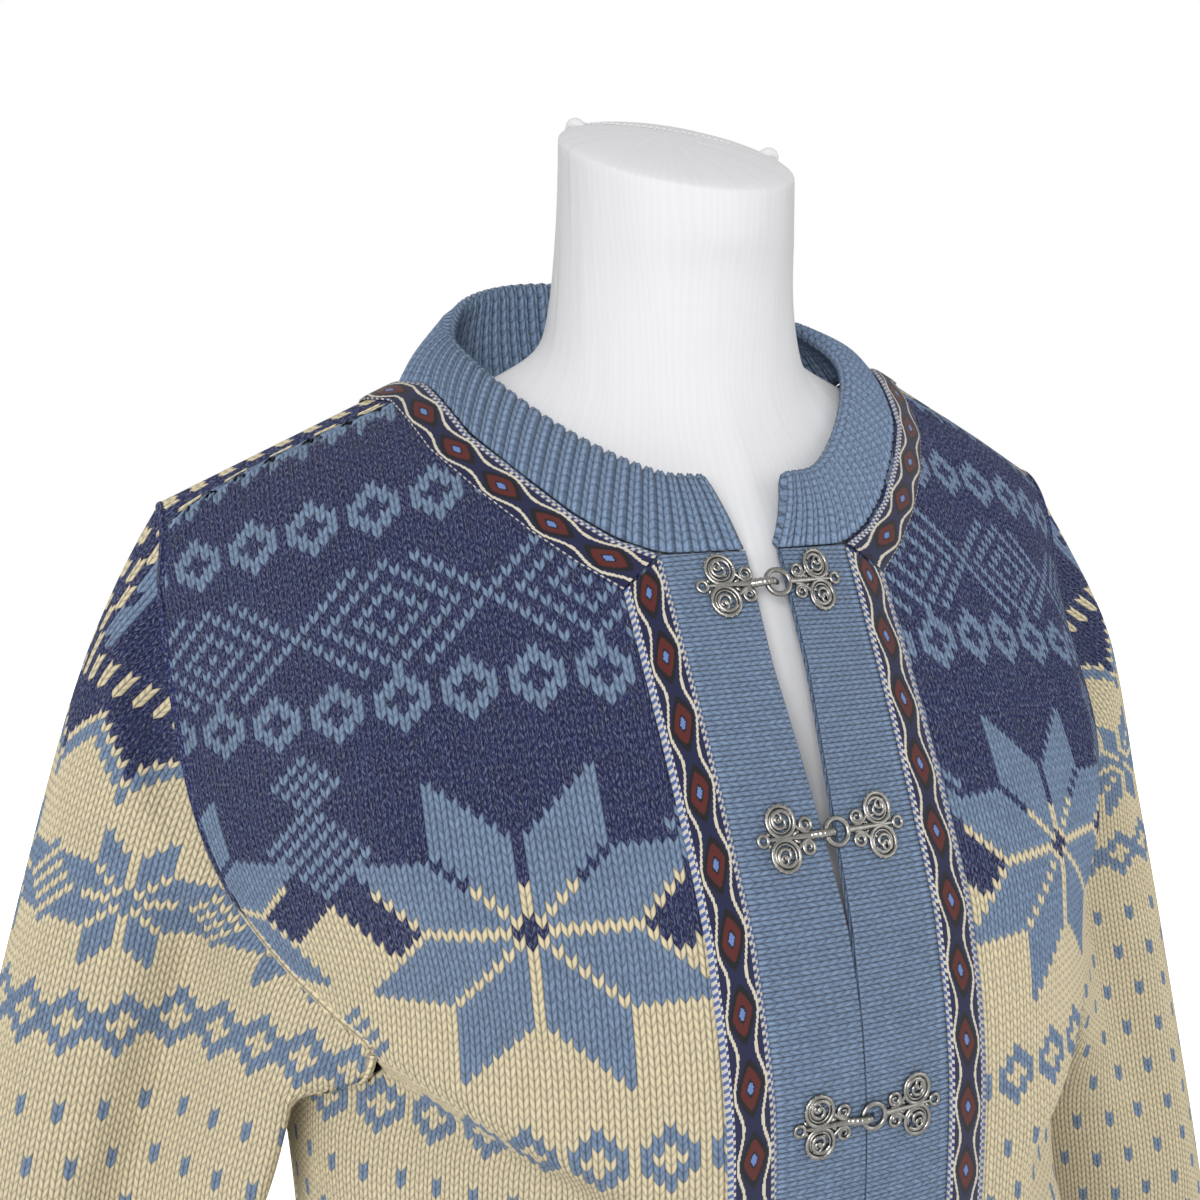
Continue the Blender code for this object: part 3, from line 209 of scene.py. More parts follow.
COLLAR_TOP = (
    (0.00, 0.0190, -0.0930, 0.6410),
    (0.10, 0.0375, -0.0860, 0.6440),
    (0.25, 0.0665, -0.0590, 0.6640),
    (0.42, 0.0930, -0.0200, 0.6960),
    (0.55, 0.0950, 0.0120, 0.7140),
    (0.70, 0.0800, 0.0440, 0.7310),
    (0.85, 0.0480, 0.0680, 0.7420),
    (1.00, 0.0000, 0.0770, 0.7460),
)
FRONT_RIBBON_EDGE = (
    (0.0585, 0.5965),
    (0.0735, 0.6075),
    (0.0885, 0.6210),
    (0.1040, 0.6380),
    (0.1180, 0.6560),
    (0.1270, 0.6680),
)
BACK_RIBBON_EDGE = (
    (0.0000, 0.6650),
    (0.0500, 0.6650),
    (0.0950, 0.6650),
    (0.1180, 0.6665),
    (0.1270, 0.6680),
)
HOOK_X = -0.0205         # middle of a clasp's hook half
EYE_X = 0.0218           # middle of its ring half
RING_X = 0.0020          # and the middle of the ring

# Knitting: how a leg of a stitch lies across its wale, its rise in courses, its relief
LEG = ((0.0, 0.8, -0.00045), (0.25, 0.4, 0.00035), (0.5, 0.0, -0.00020), (0.75, 0.4, 0.00035))
FINE = 5                     # surface rows in each course
ROW_SAG = 0.034              # courses drop this much from the neck to the armhole
STRAP_ANGLES = (math.radians(162), math.radians(222))
PANEL_TOP = 0.7060           # level of the last course of the fronts and the back
FRONT_REACH = 0.236          # the furthest out that a course of a front goes
BACK_REACH = 0.232           # and a course of the back
SLEEVE_RINGS = 170           # rings from which the sleeve's courses are worked out
VALLEY = 0.0011              # depth of a rib's valley

# Courses of the colour bands on the front and back, by the height of their lowest course
BOUNDARY_Z = 0.474           # navy above, cream below
LOWER_DIAMONDS_Z = 0.556
LATTICE_Z = 0.583
UPPER_DIAMONDS_Z = 0.634
STAR_RADIUS = 15
STAR_PERIOD = 36
STAR_START = 19

# Tilt of the sleeve's courses, by the way down its top line
COURSE_TILT_COLUMNS = ("down", "degrees")
COURSE_TILT = ((-0.3, 52), (0.0, 46), (0.07, 36), (0.12, 20), (0.19, 10), (0.30, 8), (1.0, 8))

# Courses of the colour bands on the sleeve, counted down from the armhole at its top
SLEEVE_DASHES = 17
SLEEVE_BORDER = 22
SLEEVE_STARS = 34
SLEEVE_DIAMONDS = 52
SLEEVE_LICE = 64

NAVY, LIGHT, CREAM = 0, 1, 2
INSIDE_NAVY = (0.16, 0.17, 0.24)
INSIDE_BLUE = (0.15, 0.22, 0.36)
INSIDE_CREAM = (0.45, 0.42, 0.36)

# Camera: turn about the garment, height over it, distance, and the point it looks at
CAMERA_AZIMUTH = math.radians(-21.2)
CAMERA_ELEVATION = math.radians(4.1)
CAMERA_DISTANCE = 0.61
CAMERA_TARGET = (-0.036, 0.0, 0.586)


def table(rows, names, x):
    """Values of a table at x, on a smooth curve through its rows."""
    data = np.array(rows, float)
    xs = data[:, 0]
    x = np.clip(np.asarray(x, float), xs[0], xs[-1])
    secant = np.diff(data[:, 1:], axis=0) / np.diff(xs)[:, None]
    slopes = np.vstack([secant[:1], (secant[:-1] + secant[1:]) / 2, secant[-1:]])
    k = np.clip(np.searchsorted(xs, x) - 1, 0, len(xs) - 2)
    h = xs[k + 1] - xs[k]
    t = ((x - xs[k]) / h)[..., None]
    h = h[..., None]
    y0, y1 = data[k, 1:], data[k + 1, 1:]
    m0, m1 = slopes[k] * h, slopes[k + 1] * h
    value = (
        (2 * t**3 - 3 * t**2 + 1) * y0
        + (t**3 - 2 * t**2 + t) * m0
        + (-2 * t**3 + 3 * t**2) * y1
        + (t**3 - t**2) * m1
    )
    return {name: value[..., i] for i, name in enumerate(names[1:])}


def ease(x, low, high):
    """0 below low, 1 above high, smooth between."""
    t = np.clip((np.asarray(x, float) - low) / (high - low), 0, 1)
    return t * t * (3 - 2 * t)


def unit(v):
    return v / np.maximum(np.linalg.norm(v, axis=-1, keepdims=True), 1e-12)


def run_of(points):
    """Length of the line through the points, up to each of them."""
    return np.concatenate([[0], np.cumsum(np.linalg.norm(np.diff(points, axis=0), axis=1))])


def side_name(side):
    return "left" if side > 0 else "right"


def shell_y(x, z, face, rows=TORSO, drop=0.0):
    """Depth of a torso at (x, z): face -1 is the front and +1 the back."""
    x, z = np.broadcast_arrays(np.abs(np.asarray(x, float)), np.asarray(z, float))
    size = table(rows, TORSO_COLUMNS, z)
    depth = size["front"] if face < 0 else size["back"]
    around = np.clip(x / size["half_width"], 0, 1)
    power = TORSO_POWER + (TORSO_TOP_POWER - TORSO_POWER) * ease(z, 0.47, 0.60)
    ring = (1 - around**power) ** (1 / power)
    rise = np.maximum(SHOULDER_APEX_Z - drop - SHOULDER_SLOPE * x - CHEST_Z, 1e-4)
    w = np.clip((z - CHEST_Z) / rise, 0, 1)
    if face < 0:
        p = 1.2 + 0.5 * ease(x, 0.12, 0.20)
        q = 1.62 + 0.3 * ease(x, 0.12, 0.20)
    else:
        p, q = 1.9, 2.0
    return face * depth * ring * (1 - w**p) ** (1 / q)


def fold(x, z, face):
    """Height of the body's folds at (x, z) above the plain surface."""
    total = np.zeros(np.broadcast(x, z).shape)
    for row in FOLDS:
        f = dict(zip(FOLD_COLUMNS, row))
        if f["face"] != face:
            continue
        a = np.array([f["x0"], f["z0"]])
        d = np.array([f["x1"], f["z1"]]) - a
        length = math.hypot(*d)
        d = d / length
        along = ((x - a[0]) * d[0] + (z - a[1]) * d[1]) / length
        across = (x - a[0]) * d[1] - (z - a[1]) * d[0]
        if d[0] > 0:
            across = -across
        # across is positive above the line for lines that run outward and down
        ends = ease(along, -0.15, 0.2) * (1 - ease(along, 0.8, 1.15))
        total = total + ends * f["height"] * np.exp(-((across / f["half"]) ** 2))
        if f["step"]:
            below = ease(-across, -0.2 * f["half"], 1.6 * f["half"])
            fade = 1 - ease(-across, 3 * f["half"], 9 * f["half"])
            total = total + ends * f["step"] * below * fade
    return total


def body_point(x, z, face):
    """Outside of the garment's body at (x, z), folds included."""
    x = np.asarray(x, float)
    y = shell_y(x, z, face)
    size = table(TORSO, TORSO_COLUMNS, z)
    depth = size["front"] if face < 0 else size["back"]
    normal = unit(np.stack([x / size["half_width"] ** 2, y / depth**2, 0 * x], -1))
    calm = 1 - ease(np.abs(x) / size["half_width"], 0.86, 0.99)
    calm = calm * ease(np.abs(x), 0.030, 0.065) if face < 0 else calm
    calm = calm * (1 - ease(z, 0.56, 0.62))
    lift = fold(x, z, face) * calm
    point = np.stack([x, y, z + 0 * x], -1) + normal * lift[..., None]
    return leaned(point)


def leaned(point):
    """Sides and shoulders lie a little behind the front."""
    point = np.array(point, float)
    point[..., 1] += LEAN * ease(np.abs(point[..., 0]), 0.08, 0.24)
    return point


def strap_z(x, face):
    """Height at which the body meets the strap, at x."""
    low = np.full(np.shape(x), CHEST_Z + 0.02)
    high = SHOULDER_APEX_Z - SHOULDER_SLOPE * np.abs(x) - 1e-6
    for _ in range(40):
        mid = (low + high) / 2
        out = np.abs(shell_y(x, mid, face)) > (STRAP_FRONT if face < 0 else STRAP_BACK)
        low, high = np.where(out, mid, low), np.where(out, high, mid)
    return (low + high) / 2


def armhole(t, face):
    """Armhole seam in (x, z), from the underarm at t = 0 to the strap at t = 1."""
    seam = table(ARMHOLE if face < 0 else BACK_ARMHOLE, ARMHOLE_COLUMNS, t)
    end = strap_z(np.array([SHOULDER_TIP_X]), face)[0]
    z = seam["z"] + (end - ARMHOLE[-1][2]) * ease(t, 0.6, 1.0)
    return seam["x"], z


def edge_x(z, side):
    """x of the front opening's edge at height z."""
    half = SEAM_GAP / 2 + (OPENING_HALF - SEAM_GAP / 2) * ease(z, OPENING_FROM_Z, 0.66) * 1.6
    middle = OPENING_CENTRE * ease(z, OPENING_FROM_Z, BAND_TOP_Z)
    return middle + side * np.minimum(half, OPENING_HALF)


def neck_point(side):
    """x of the corner between neckline and strap, positive on either side."""
    return NECK_POINT_X + side * NECK_SHIFT


def neck_rows(rows, side, face):
    """Rows of a neckline table from the band to the strap, for one side."""
    line = np.array(rows, float)
    line[:, 0] += side * NECK_SHIFT
    line[-1] = [neck_point(side), strap_z(np.array([neck_point(side)]), face)[0]]
    return line


def strap_neck_x(side, b):
    """x of the strap's neck edge, b from -1 at its front edge to +1 at its back edge."""
    return neck_point(side) + NECK_BULGE * (1 - b * b)


def strap_point(x, b):
    """Strap at x, b from -1 at its front edge to +1 at its back edge."""
    zf, zb = strap_z(x, -1), strap_z(x, 1)
    top = SHOULDER_APEX_Z - SHOULDER_SLOPE * np.abs(x)
    z = np.where(b < 0, top - (top - zf) * np.abs(b) ** 2, top - (top - zb) * np.abs(b) ** 2)
    y = np.where(b < 0, STRAP_FRONT, STRAP_BACK) * b
    return leaned(np.stack([x, y + 0 * x, z], -1))


def sleeve_ring(s, angle):
    """Plain sleeve ring at s: angle 0 is the underarm side, pi the outer side."""
    size = table(SLEEVE, SLEEVE_COLUMNS, s)
    outer = np.stack([size["outer_x"], 0 * s, size["outer_z"]], -1)
    inner = np.stack([size["inner_x"], 0 * s, size["inner_z"]], -1)
    c, k = np.cos(angle), np.sin(angle)
    power = 2 / 2.2
    c = np.sign(c) * np.abs(c) ** power
    k = np.sign(k) * np.abs(k) ** power
    middle = (outer + inner) / 2
    point = middle - (outer - inner) / 2 * c[..., None]
    point[..., 1] = size["centre_y"] - size["half_depth"] * k
    return point


def armhole_point(kind, value):
    """Point of the left armhole seam at one place of the sleeve's loop."""
    if kind == "strap":
        return strap_point(np.array(SHOULDER_TIP_X), np.array(value))
    face = -1 if kind == "front" else 1
    x, z = armhole(np.array(value), face)
    return body_point(x, z, face)


def sleeve_fold(side, s, angle):
    """How the folds move the sleeve at s, for +X outward."""
    total = np.zeros((len(angle), 3))
    degrees = np.degrees(angle)
    for row in SLEEVE_FOLDS:
        f = dict(zip(SLEEVE_FOLD_COLUMNS, row))
        if f["side"] != side:
            continue
        along = (s - f["s0"]) / (f["s1"] - f["s0"])
        middle = f["angle0"] + (f["angle1"] - f["angle0"]) * np.clip(along, 0, 1)
        ends = ease(along, -0.15, 0.25) * (1 - ease(along, 0.6, 1.3))
        across = np.abs((degrees - middle + 180) % 360 - 180)
        total += np.outer(ends * np.exp(-((across / f["half"]) ** 2)), [f["dx"] * side, f["dy"], 0])
    return total


def beside_body(point, clear, side):
    """Moves sleeve points that would lie inside the body out to its side."""
    x = np.abs(point[:, 0])
    lean = LEAN * ease(x, 0.08, 0.24)
    y = point[:, 1] - lean
    size = table(TORSO, TORSO_COLUMNS, point[:, 2])
    depth = np.where(y < 0, size["front"], size["back"])
    reach = (x / size["half_width"]) ** TORSO_POWER + (np.abs(y) / depth) ** TORSO_POWER
    reach = reach ** (1 / TORSO_POWER)
    wanted = 1 + clear / size["half_width"]
    grow = np.maximum(wanted / np.maximum(reach, 0.2), 1.0)
    grow = 1 + (grow - 1) * (1 - ease(point[:, 2], UNDERARM_Z + 0.02, UNDERARM_Z + 0.05))
    out = point.copy()
    out[:, 0] = np.sign(point[:, 0]) * x * grow
    out[:, 1] = y * grow + lean
    # the body's own folds
    for face in (-1, 1):
        near = (out[:, 1] * face > lean * face) & (np.abs(out[:, 0]) < size["half_width"] - 0.001)
        near &= out[:, 2] < UNDERARM_Z + 0.04
        if near.any():
            cloth_y = body_point(out[near, 0] * side, out[near, 2], face)[:, 1]
            out[near, 1] = face * np.maximum(out[near, 1] * face, cloth_y * face + clear)
    return out


def surface_normal(x, z, face=-1):
    """Outward normal of the body at (x, z)."""
    e = 0.0005
    dx = body_point(x + e, z, face) - body_point(x - e, z, face)
    dz = body_point(x, z + e, face) - body_point(x, z - e, face)
    n = unit(np.cross(dx, dz))
    return n * np.where(n[..., 1:2] * face > 0, 1, -1)


def path_at(rows, q):
    """x and z at the share q of the way along a line of rows."""
    line = np.array(rows)
    run = run_of(line)
    return np.interp(q * run[-1], run, line[:, 0]), np.interp(q * run[-1], run, line[:, 1])


def strap_normal(x, b):
    """Upward normal of the strap at x, b."""
    e = 0.001
    dx = strap_point(x + e, b) - strap_point(x - e, b)
    db = strap_point(x, b + e) - strap_point(x, b - e)
    n = unit(np.cross(dx, db))
    return n * np.sign(n[..., 2:3])


# Courses and wales on the surface


def level_z(x, level):
    """Height of a course at x: level at the middle, sagging towards the armhole."""
    out = np.clip((np.abs(x) - 0.09) / 0.13, 0, 1.15)
    return level - ROW_SAG * ease(level, 0.42, 0.66) * out**1.3


def boundary(face, side=1):
    """Heights and x of the panel's outer edge: side seam, armhole, then strap."""
    t = np.linspace(0, 1, 160)
    x, z = armhole(t, face)
    low = np.linspace(HEM_BOTTOM, UNDERARM_Z, 40)[:-1]
    low_x = table(TORSO, TORSO_COLUMNS, low)["half_width"]
    top_x = np.linspace(SHOULDER_TIP_X, neck_point(side), 60)[1:]
    top_z = strap_z(top_x, face)
    return np.concatenate([low, z, top_z]), np.concatenate([low_x, x, top_x])


def seam_x(z, side):
    """Seam between band and front: it leans out to the neckline's corner."""
    corner = FRONT_NECKLINE[1][0] + side * NECK_SHIFT
    share = np.clip((z - UNDERARM_Z) / (RIBBON_TOP_Z - UNDERARM_Z), 0, 1)
    return BAND_SEAM_X + (corner - BAND_SEAM_X) * share


def neck_boundary(side):
    """Heights and x of the panel's inner edge: band seam, then neckline."""
    rows = neck_rows(FRONT_NECKLINE[1:], side, -1)
    z = np.linspace(0.0, BAND_TOP_Z - 0.0004, 80)
    return np.concatenate([z, rows[:, 1]]), np.concatenate([seam_x(z, side), rows[:, 0]])


def course_levels(face, low, high, course):
    """Levels at which successive fine rows lie, so that courses keep their height."""
    level = np.linspace(low, high, 500)
    x = np.linspace(0.045, 0.17, 9)
    z = level_z(x[None, :], level[:, None])
    p = body_point(x + 0 * z, np.minimum(z, 0.70), face)
    step = np.linalg.norm(np.diff(p, axis=0), axis=2).mean(axis=1)
    run = np.concatenate([[0], np.cumsum(step)])
    courses = int(run[-1] / course)
    at = np.arange(courses * FINE + FINE + 1) / FINE * course
    return np.interp(at, run, level), courses


class PanelRows:
    """Courses of a front or of the back, from its hem up."""

    def __init__(self, face, course, low, high):
        self.level, self.courses = course_levels(face, low, high, course)
        self.out = boundary(face)

    def course_at(self, z):
        """Number of the course at height z in the middle."""
        return int(np.searchsorted(self.level, z) / FINE)

    def side_x(self, level, most):
        """x at which a course meets the side."""
        end = 0.19
        for _ in range(4):
            end = float(table(TORSO, TORSO_COLUMNS, np.array(level_z(end, level)))["half_width"])
        return min(end - 1e-6, most)

    def within(self, x, z, level, end):
        """Positive inside the armhole and, below it, inside the side seam."""
        if level > UNDERARM_Z:
            return np.interp(z, *self.out) - x
        return np.where(x < end - 1e-5, 1.0, 0.0)


class FrontRows(PanelRows):
    """Rows of a front panel: points, run from the band seam, and the ends of the run."""

    def __init__(self, side, course, low=HEM_TOP, high=PANEL_TOP):
        super().__init__(-1, course, low, high)
        self.side = side
        self.out = boundary(-1, side)
        self.inner = neck_boundary(side)

    def row(self, k):
        level = self.level[min(k, len(self.level) - 1)]
        end = self.side_x(level, FRONT_REACH)
        start = BAND_SEAM_X - 0.003
        x = start + (end - start) * np.sin(np.linspace(0, math.pi / 2, 220))
        z = level_z(x, level)
        p = body_point(self.side * x, z, -1)
        run = run_of(p)
        neck = x - np.interp(z, *self.inner)
        return p, run, *ends(run, self.within(x, z, level, end), neck)


def back_neckline(side, x):
    """x and height of the back's neckline out to the shoulder strap."""
    point = neck_point(side)
    at_point = float(strap_z(np.array([point]), 1)[0])
    z = table(BACK_NECKLINE, NECKLINE_COLUMNS, np.minimum(x, NECK_POINT_X))["z"]
    return x, z + (at_point - BACK_NECKLINE[-1][1]) * ease(x, 0.06, point)


class BackRows(PanelRows):
    """Rows of the back: run from the middle of the back, negative to the right."""

    def __init__(self, course, low=HEM_TOP, high=PANEL_TOP):
        super().__init__(1, course, low, high)
        self.neck = back_neckline(1, np.linspace(0, neck_point(1), 60))

    def row(self, k):
        level = self.level[min(k, len(self.level) - 1)]
        end = self.side_x(level, BACK_REACH)
        x = end * np.sin(np.linspace(0, math.pi / 2, 200))
        z = np.minimum(level_z(x, level), np.interp(x, *self.neck, right=0.72))
        half = body_point(x, z, 1)
        other = body_point(-x, z, 1)
        _, hi = ends(run_of(half), self.within(x, z, level, end))
        p = np.vstack([other[::-1], half[1:]])
        middle = run_of(other)[-1]
        return p, run_of(p) - middle, -hi, hi


def ends(run, *inside):
    """First and last place of the run at which all values are positive."""
    low, high = run[0], run[-1]
    good = np.min(inside, axis=0) > 0
    if not good.any():
        best = run[np.argmax(np.min(inside, axis=0))]
        return best, best
    first, last = np.argmax(good), len(good) - 1 - np.argmax(good[::-1])
    for value in inside:
        if first > 0 and value[first - 1] <= 0 < value[first]:
            share = value[first] / (value[first] - value[first - 1])
            low = max(low, run[first] - share * (run[first] - run[first - 1]))
        if last < len(run) - 1 and value[last + 1] <= 0 < value[last]:
            share = value[last] / (value[last] - value[last + 1])
            high = min(high, run[last] + share * (run[last + 1] - run[last]))
    return low, max(high, low)


def sleeve_loop():
    """Places round the armhole: the piece, where on its edge, and the sleeve's angle."""
    low, high = STRAP_ANGLES
    t = np.linspace(0, 1, 70)
    front = [("front", v, v * low) for v in t[:-1]]
    strap = [("strap", b, (low + high + b * (high - low)) / 2) for b in np.linspace(-1, 1, 13)]
    back = [("back", v, 2 * math.pi - v * (2 * math.pi - high)) for v in t[::-1][1:]]
    return front + strap + back


def sleeve_ring_points(side, s, seam, angle, first):
    """Ring of a sleeve at s, led from the armhole's seam and folded."""
    ring = sleeve_ring(np.full(len(angle), s), angle)
    point = ring + (seam - first) * (1 - ease(s, 0.0, 0.16))
    point = point + sleeve_fold(side, s, angle) * ease(s, 0.0, 0.09)
    if s > 0:
        point = beside_body(point, 0.0020 + 0.0030 * float(ease(s, 0.0, 0.05)), side)
    point[:, 0] *= side
    return point


class SleeveRows:
    """Rows of a sleeve, low to high on the arm: run from the middle of its top.

    Courses lie in planes that turn from level at the cuff to steep at the shoulder, and
    the armhole cuts them off. The cuff itself keeps to the sleeve's rings.
    """

    def __init__(self, side, course, s_low=CUFF_FROM, s_high=0.0):
        loop = sleeve_loop()
        seam = np.array([armhole_point(kind, value) for kind, value, _ in loop])
        angle = np.array([a for _, _, a in loop])
        first = sleeve_ring(np.zeros(len(loop)), angle)
        steps = np.linspace(s_high, s_low, SLEEVE_RINGS)
        self.rings = np.array([sleeve_ring_points(side, s, seam, angle, first) for s in steps])
        self.top = [i for i, item in enumerate(loop) if item[0] == "strap"][4]
        outer = self.rings[:, self.top]
        down = run_of(outer)
        self.length = down[-1]
        self.courses = int(round(self.length / course))
        by_ring = np.tile(down[:, None], (1, len(loop)))
        share = ease(steps, 0.50, CUFF_FROM)[:, None]
        # behind the strap the courses keep to the rings
        behind = ease(np.arange(len(loop)), self.top - 2, self.top + 12)[None, :]
        share = np.maximum(share, behind)
        self.level = by_ring * share + self.plane_level(outer, down) * (1 - share)
        self.level = np.maximum.accumulate(self.level, axis=0)

    def plane_level(self, outer, down):
        """Place down the sleeve's top line of the tilted plane through each ring point."""
        run = np.concatenate([[-0.3], down, [down[-1] + 0.3]])
        before = outer[0] - unit(outer[4] - outer[0]) * 0.3
        after = outer[-1] + unit(outer[-1] - outer[-5]) * 0.3
        line = np.vstack([before, outer, after])
        x, z = np.abs(self.rings[..., 0]), self.rings[..., 2]
        low, high = np.full(x.shape, -0.3), np.full(x.shape, run[-1])
        for _ in range(24):
            mid = (low + high) / 2
            tilt = np.radians(table(COURSE_TILT, COURSE_TILT_COLUMNS, mid)["degrees"])
            dz = np.interp(mid, run, line[:, 2]) - z
            dx = np.interp(mid, run, np.abs(line[:, 0])) - x
            below = dz * np.cos(tilt) - dx * np.sin(tilt) > 0
            low, high = np.where(below, mid, low), np.where(below, high, mid)
        return (low + high) / 2

    def row(self, k):
        at = self.length * (1 - k / FINE / self.courses)
        count = np.arange(len(self.level))
        place = np.array([np.interp(at, column, count) for column in self.level.T])
        i = np.minimum(place.astype(int), len(count) - 2)
        share = (place - i)[:, None]
        j = np.arange(len(i))
        p = self.rings[i, j] * (1 - share) + self.rings[i + 1, j] * share
        run = run_of(p)
        run = run - run[self.top]
        return p, run, *ends(run, at - self.level[0] + 1e-9)


class StrapRows:
    """Rows across a shoulder strap, from the sleeve up to the neck."""

    def __init__(self, side, course):
        self.side = side
        across = SHOULDER_TIP_X - NECK_POINT_X
        self.courses = int(round(math.hypot(across, SHOULDER_SLOPE * across) / course))

    def row(self, k):
        t = min(k / FINE / self.courses, 1.0)
        b = np.linspace(-1, 1, 61)
        x = SHOULDER_TIP_X + (strap_neck_x(self.side, b) - SHOULDER_TIP_X) * t
        p = strap_point(x, b) * [self.side, 1, 1]
        run = run_of(p)
        run = run - run[20]
        return p, run, run[0], run[-1]


class BandRows:
    """Rows along a front band, knitted outward from its seam: run from the hem up."""

    def __init__(self, side, course):
        self.side = side
        self.courses = int(round((BAND_SEAM_X - 0.002) / course))
        self.z = np.linspace(HEM_BOTTOM, BAND_TOP_Z, 260)

    def row(self, k):
        share = min(k / FINE / self.courses, 1.0)
        seam = self.side * seam_x(self.z, self.side)
        x = seam + (edge_x(self.z, self.side) - seam) * share
        p = body_point(x, self.z, -1)
        run = run_of(p)
        return p, run, 0.0, run[-1]


# Meshes of stitches


def fast_mesh(name, points, faces, uv, colour, material):
    """Mesh from arrays: faces are quads, uv and colour are given per corner."""
    mesh = bpy.data.meshes.new(name)
    faces = np.asarray(faces, np.int32)
    mesh.vertices.add(len(points))
    mesh.vertices.foreach_set("co", np.asarray(points, np.float32).ravel())
    mesh.loops.add(faces.size)
    mesh.loops.foreach_set("vertex_index", faces.ravel())
    mesh.polygons.add(len(faces))
    mesh.polygons.foreach_set("loop_start", np.arange(0, faces.size, faces.shape[1], dtype=np.int32))
    mesh.polygons.foreach_set("loop_total", np.full(len(faces), faces.shape[1], np.int32))
    mesh.polygons.foreach_set("use_smooth", np.full(len(faces), True))
    mesh.update(calc_edges=True)
    if uv is not None:
        layer = mesh.uv_layers.new(name="stitch")
        layer.data.foreach_set("uv", np.asarray(uv, np.float32).ravel())
    if colour is not None:
        layer = mesh.color_attributes.new(name="yarn", type="FLOAT_COLOR", domain="CORNER")
        layer.data.foreach_set("color", np.asarray(colour, np.float32).ravel())
    mesh.validate()
    thing = bpy.data.objects.new(name, mesh)
    bpy.context.scene.collection.objects.link(thing)
    mesh.materials.append(material)
    return thing


def grid_quads(r, c, width):
    """Quads at rows r and columns c of a grid of points of that width."""
    return np.stack([r * width + c, r * width + c + 1, (r + 1) * width + c + 1, (r + 1) * width + c], -1)


def faced_out(points, quads, uv, outward):
    """The quads and their uv, turned round where they would face against outward."""
    a, b, d = (points[quads[:, i]] for i in (0, 1, 3))
    if np.sum(np.cross(b - a, d - a) * outward) < 0:
        return quads[:, ::-1], uv[:, ::-1]
    return quads, uv


def joined(parts):
    """Points, faces and shades of several parts as one."""
    start = np.cumsum([0] + [len(points) for points, _, _ in parts])
    faces = np.vstack([np.array(faces) + first for (_, faces, _), first in zip(parts, start)])
    points = np.vstack([points for points, _, _ in parts])
    return points, faces, np.concatenate([shade for _, _, shade in parts])


def sample(row, w):
    """Points of a row at the places w of its run."""
    p, run, _, _ = row
    return np.stack([np.interp(w, run, p[:, i]) for i in range(3)], -1)


def stitch_grid(rows, wale, facing):
    """Positions and normals at each quarter wale on every fine row."""
    total = rows.courses * FINE + FINE
    data = [rows.row(k) for k in range(total)]
    low = min(d[2] for d in data)
    high = max(d[3] for d in data)
    first, last = math.floor(low / wale), math.ceil(high / wale)
    w = np.arange(first * 4, last * 4 + 1) / 4 * wale
    at = np.array([np.clip(w, d[2], d[3]) for d in data])
    grid = np.array([sample(d, a) for d, a in zip(data, at)])
    e = 0.0015
    across, along = [], []
    for k, d in enumerate(data):
        below, above = data[max(k - 3, 0)], data[min(k + 3, total - 1)]
        lo, hi = max(below[2], above[2], d[2]) + e, min(below[3], above[3], d[3]) - e
        c = np.clip(w, lo, hi) if hi > lo else np.full(len(w), (lo + hi) / 2)
        across.append(sample(d, c + e) - sample(d, c - e))
        along.append(sample(above, c) - sample(below, c))
    normal = unit(np.cross(np.array(across), np.array(along)))
    if np.sum(normal.reshape(-1, 3) * facing(grid.reshape(-1, 3))) < 0:
        normal = -normal
    return grid, normal, at, first


def yarn_colours(settings):
    """Rows of red, green, blue and heather for navy, light blue and cream yarn."""
    return np.array([
        [*settings.navy, 0.90],
        [*settings.light, 0.50],
        [*settings.cream, 0.05],
    ])


def stitch_tone(wales, courses, ids):
    """Small difference of shade from stitch to stitch, larger in heathered yarn."""
    seed = np.sin(wales * 12.9898 + courses * 78.233) * 43758.5453
    spread = np.array([0.30, 0.16, 0.07])[ids]
    return 1 + spread * (seed - np.floor(seed) - 0.5)


def stitch_room(base, wale):
    """Share of a full stitch's room at each point of a piece, less where stitches crowd."""
    up = base[1:, :-1] - base[:-1, :-1]
    along = base[:-1, 1:] - base[:-1, :-1]
    cell = np.linalg.norm(np.cross(up, along), axis=2) / (wale * wale * 0.84 / 4)
    cell = np.pad(cell, ((0, 1), (0, 1)), mode="edge")
    return np.clip(cell, 0.0, 1.0)


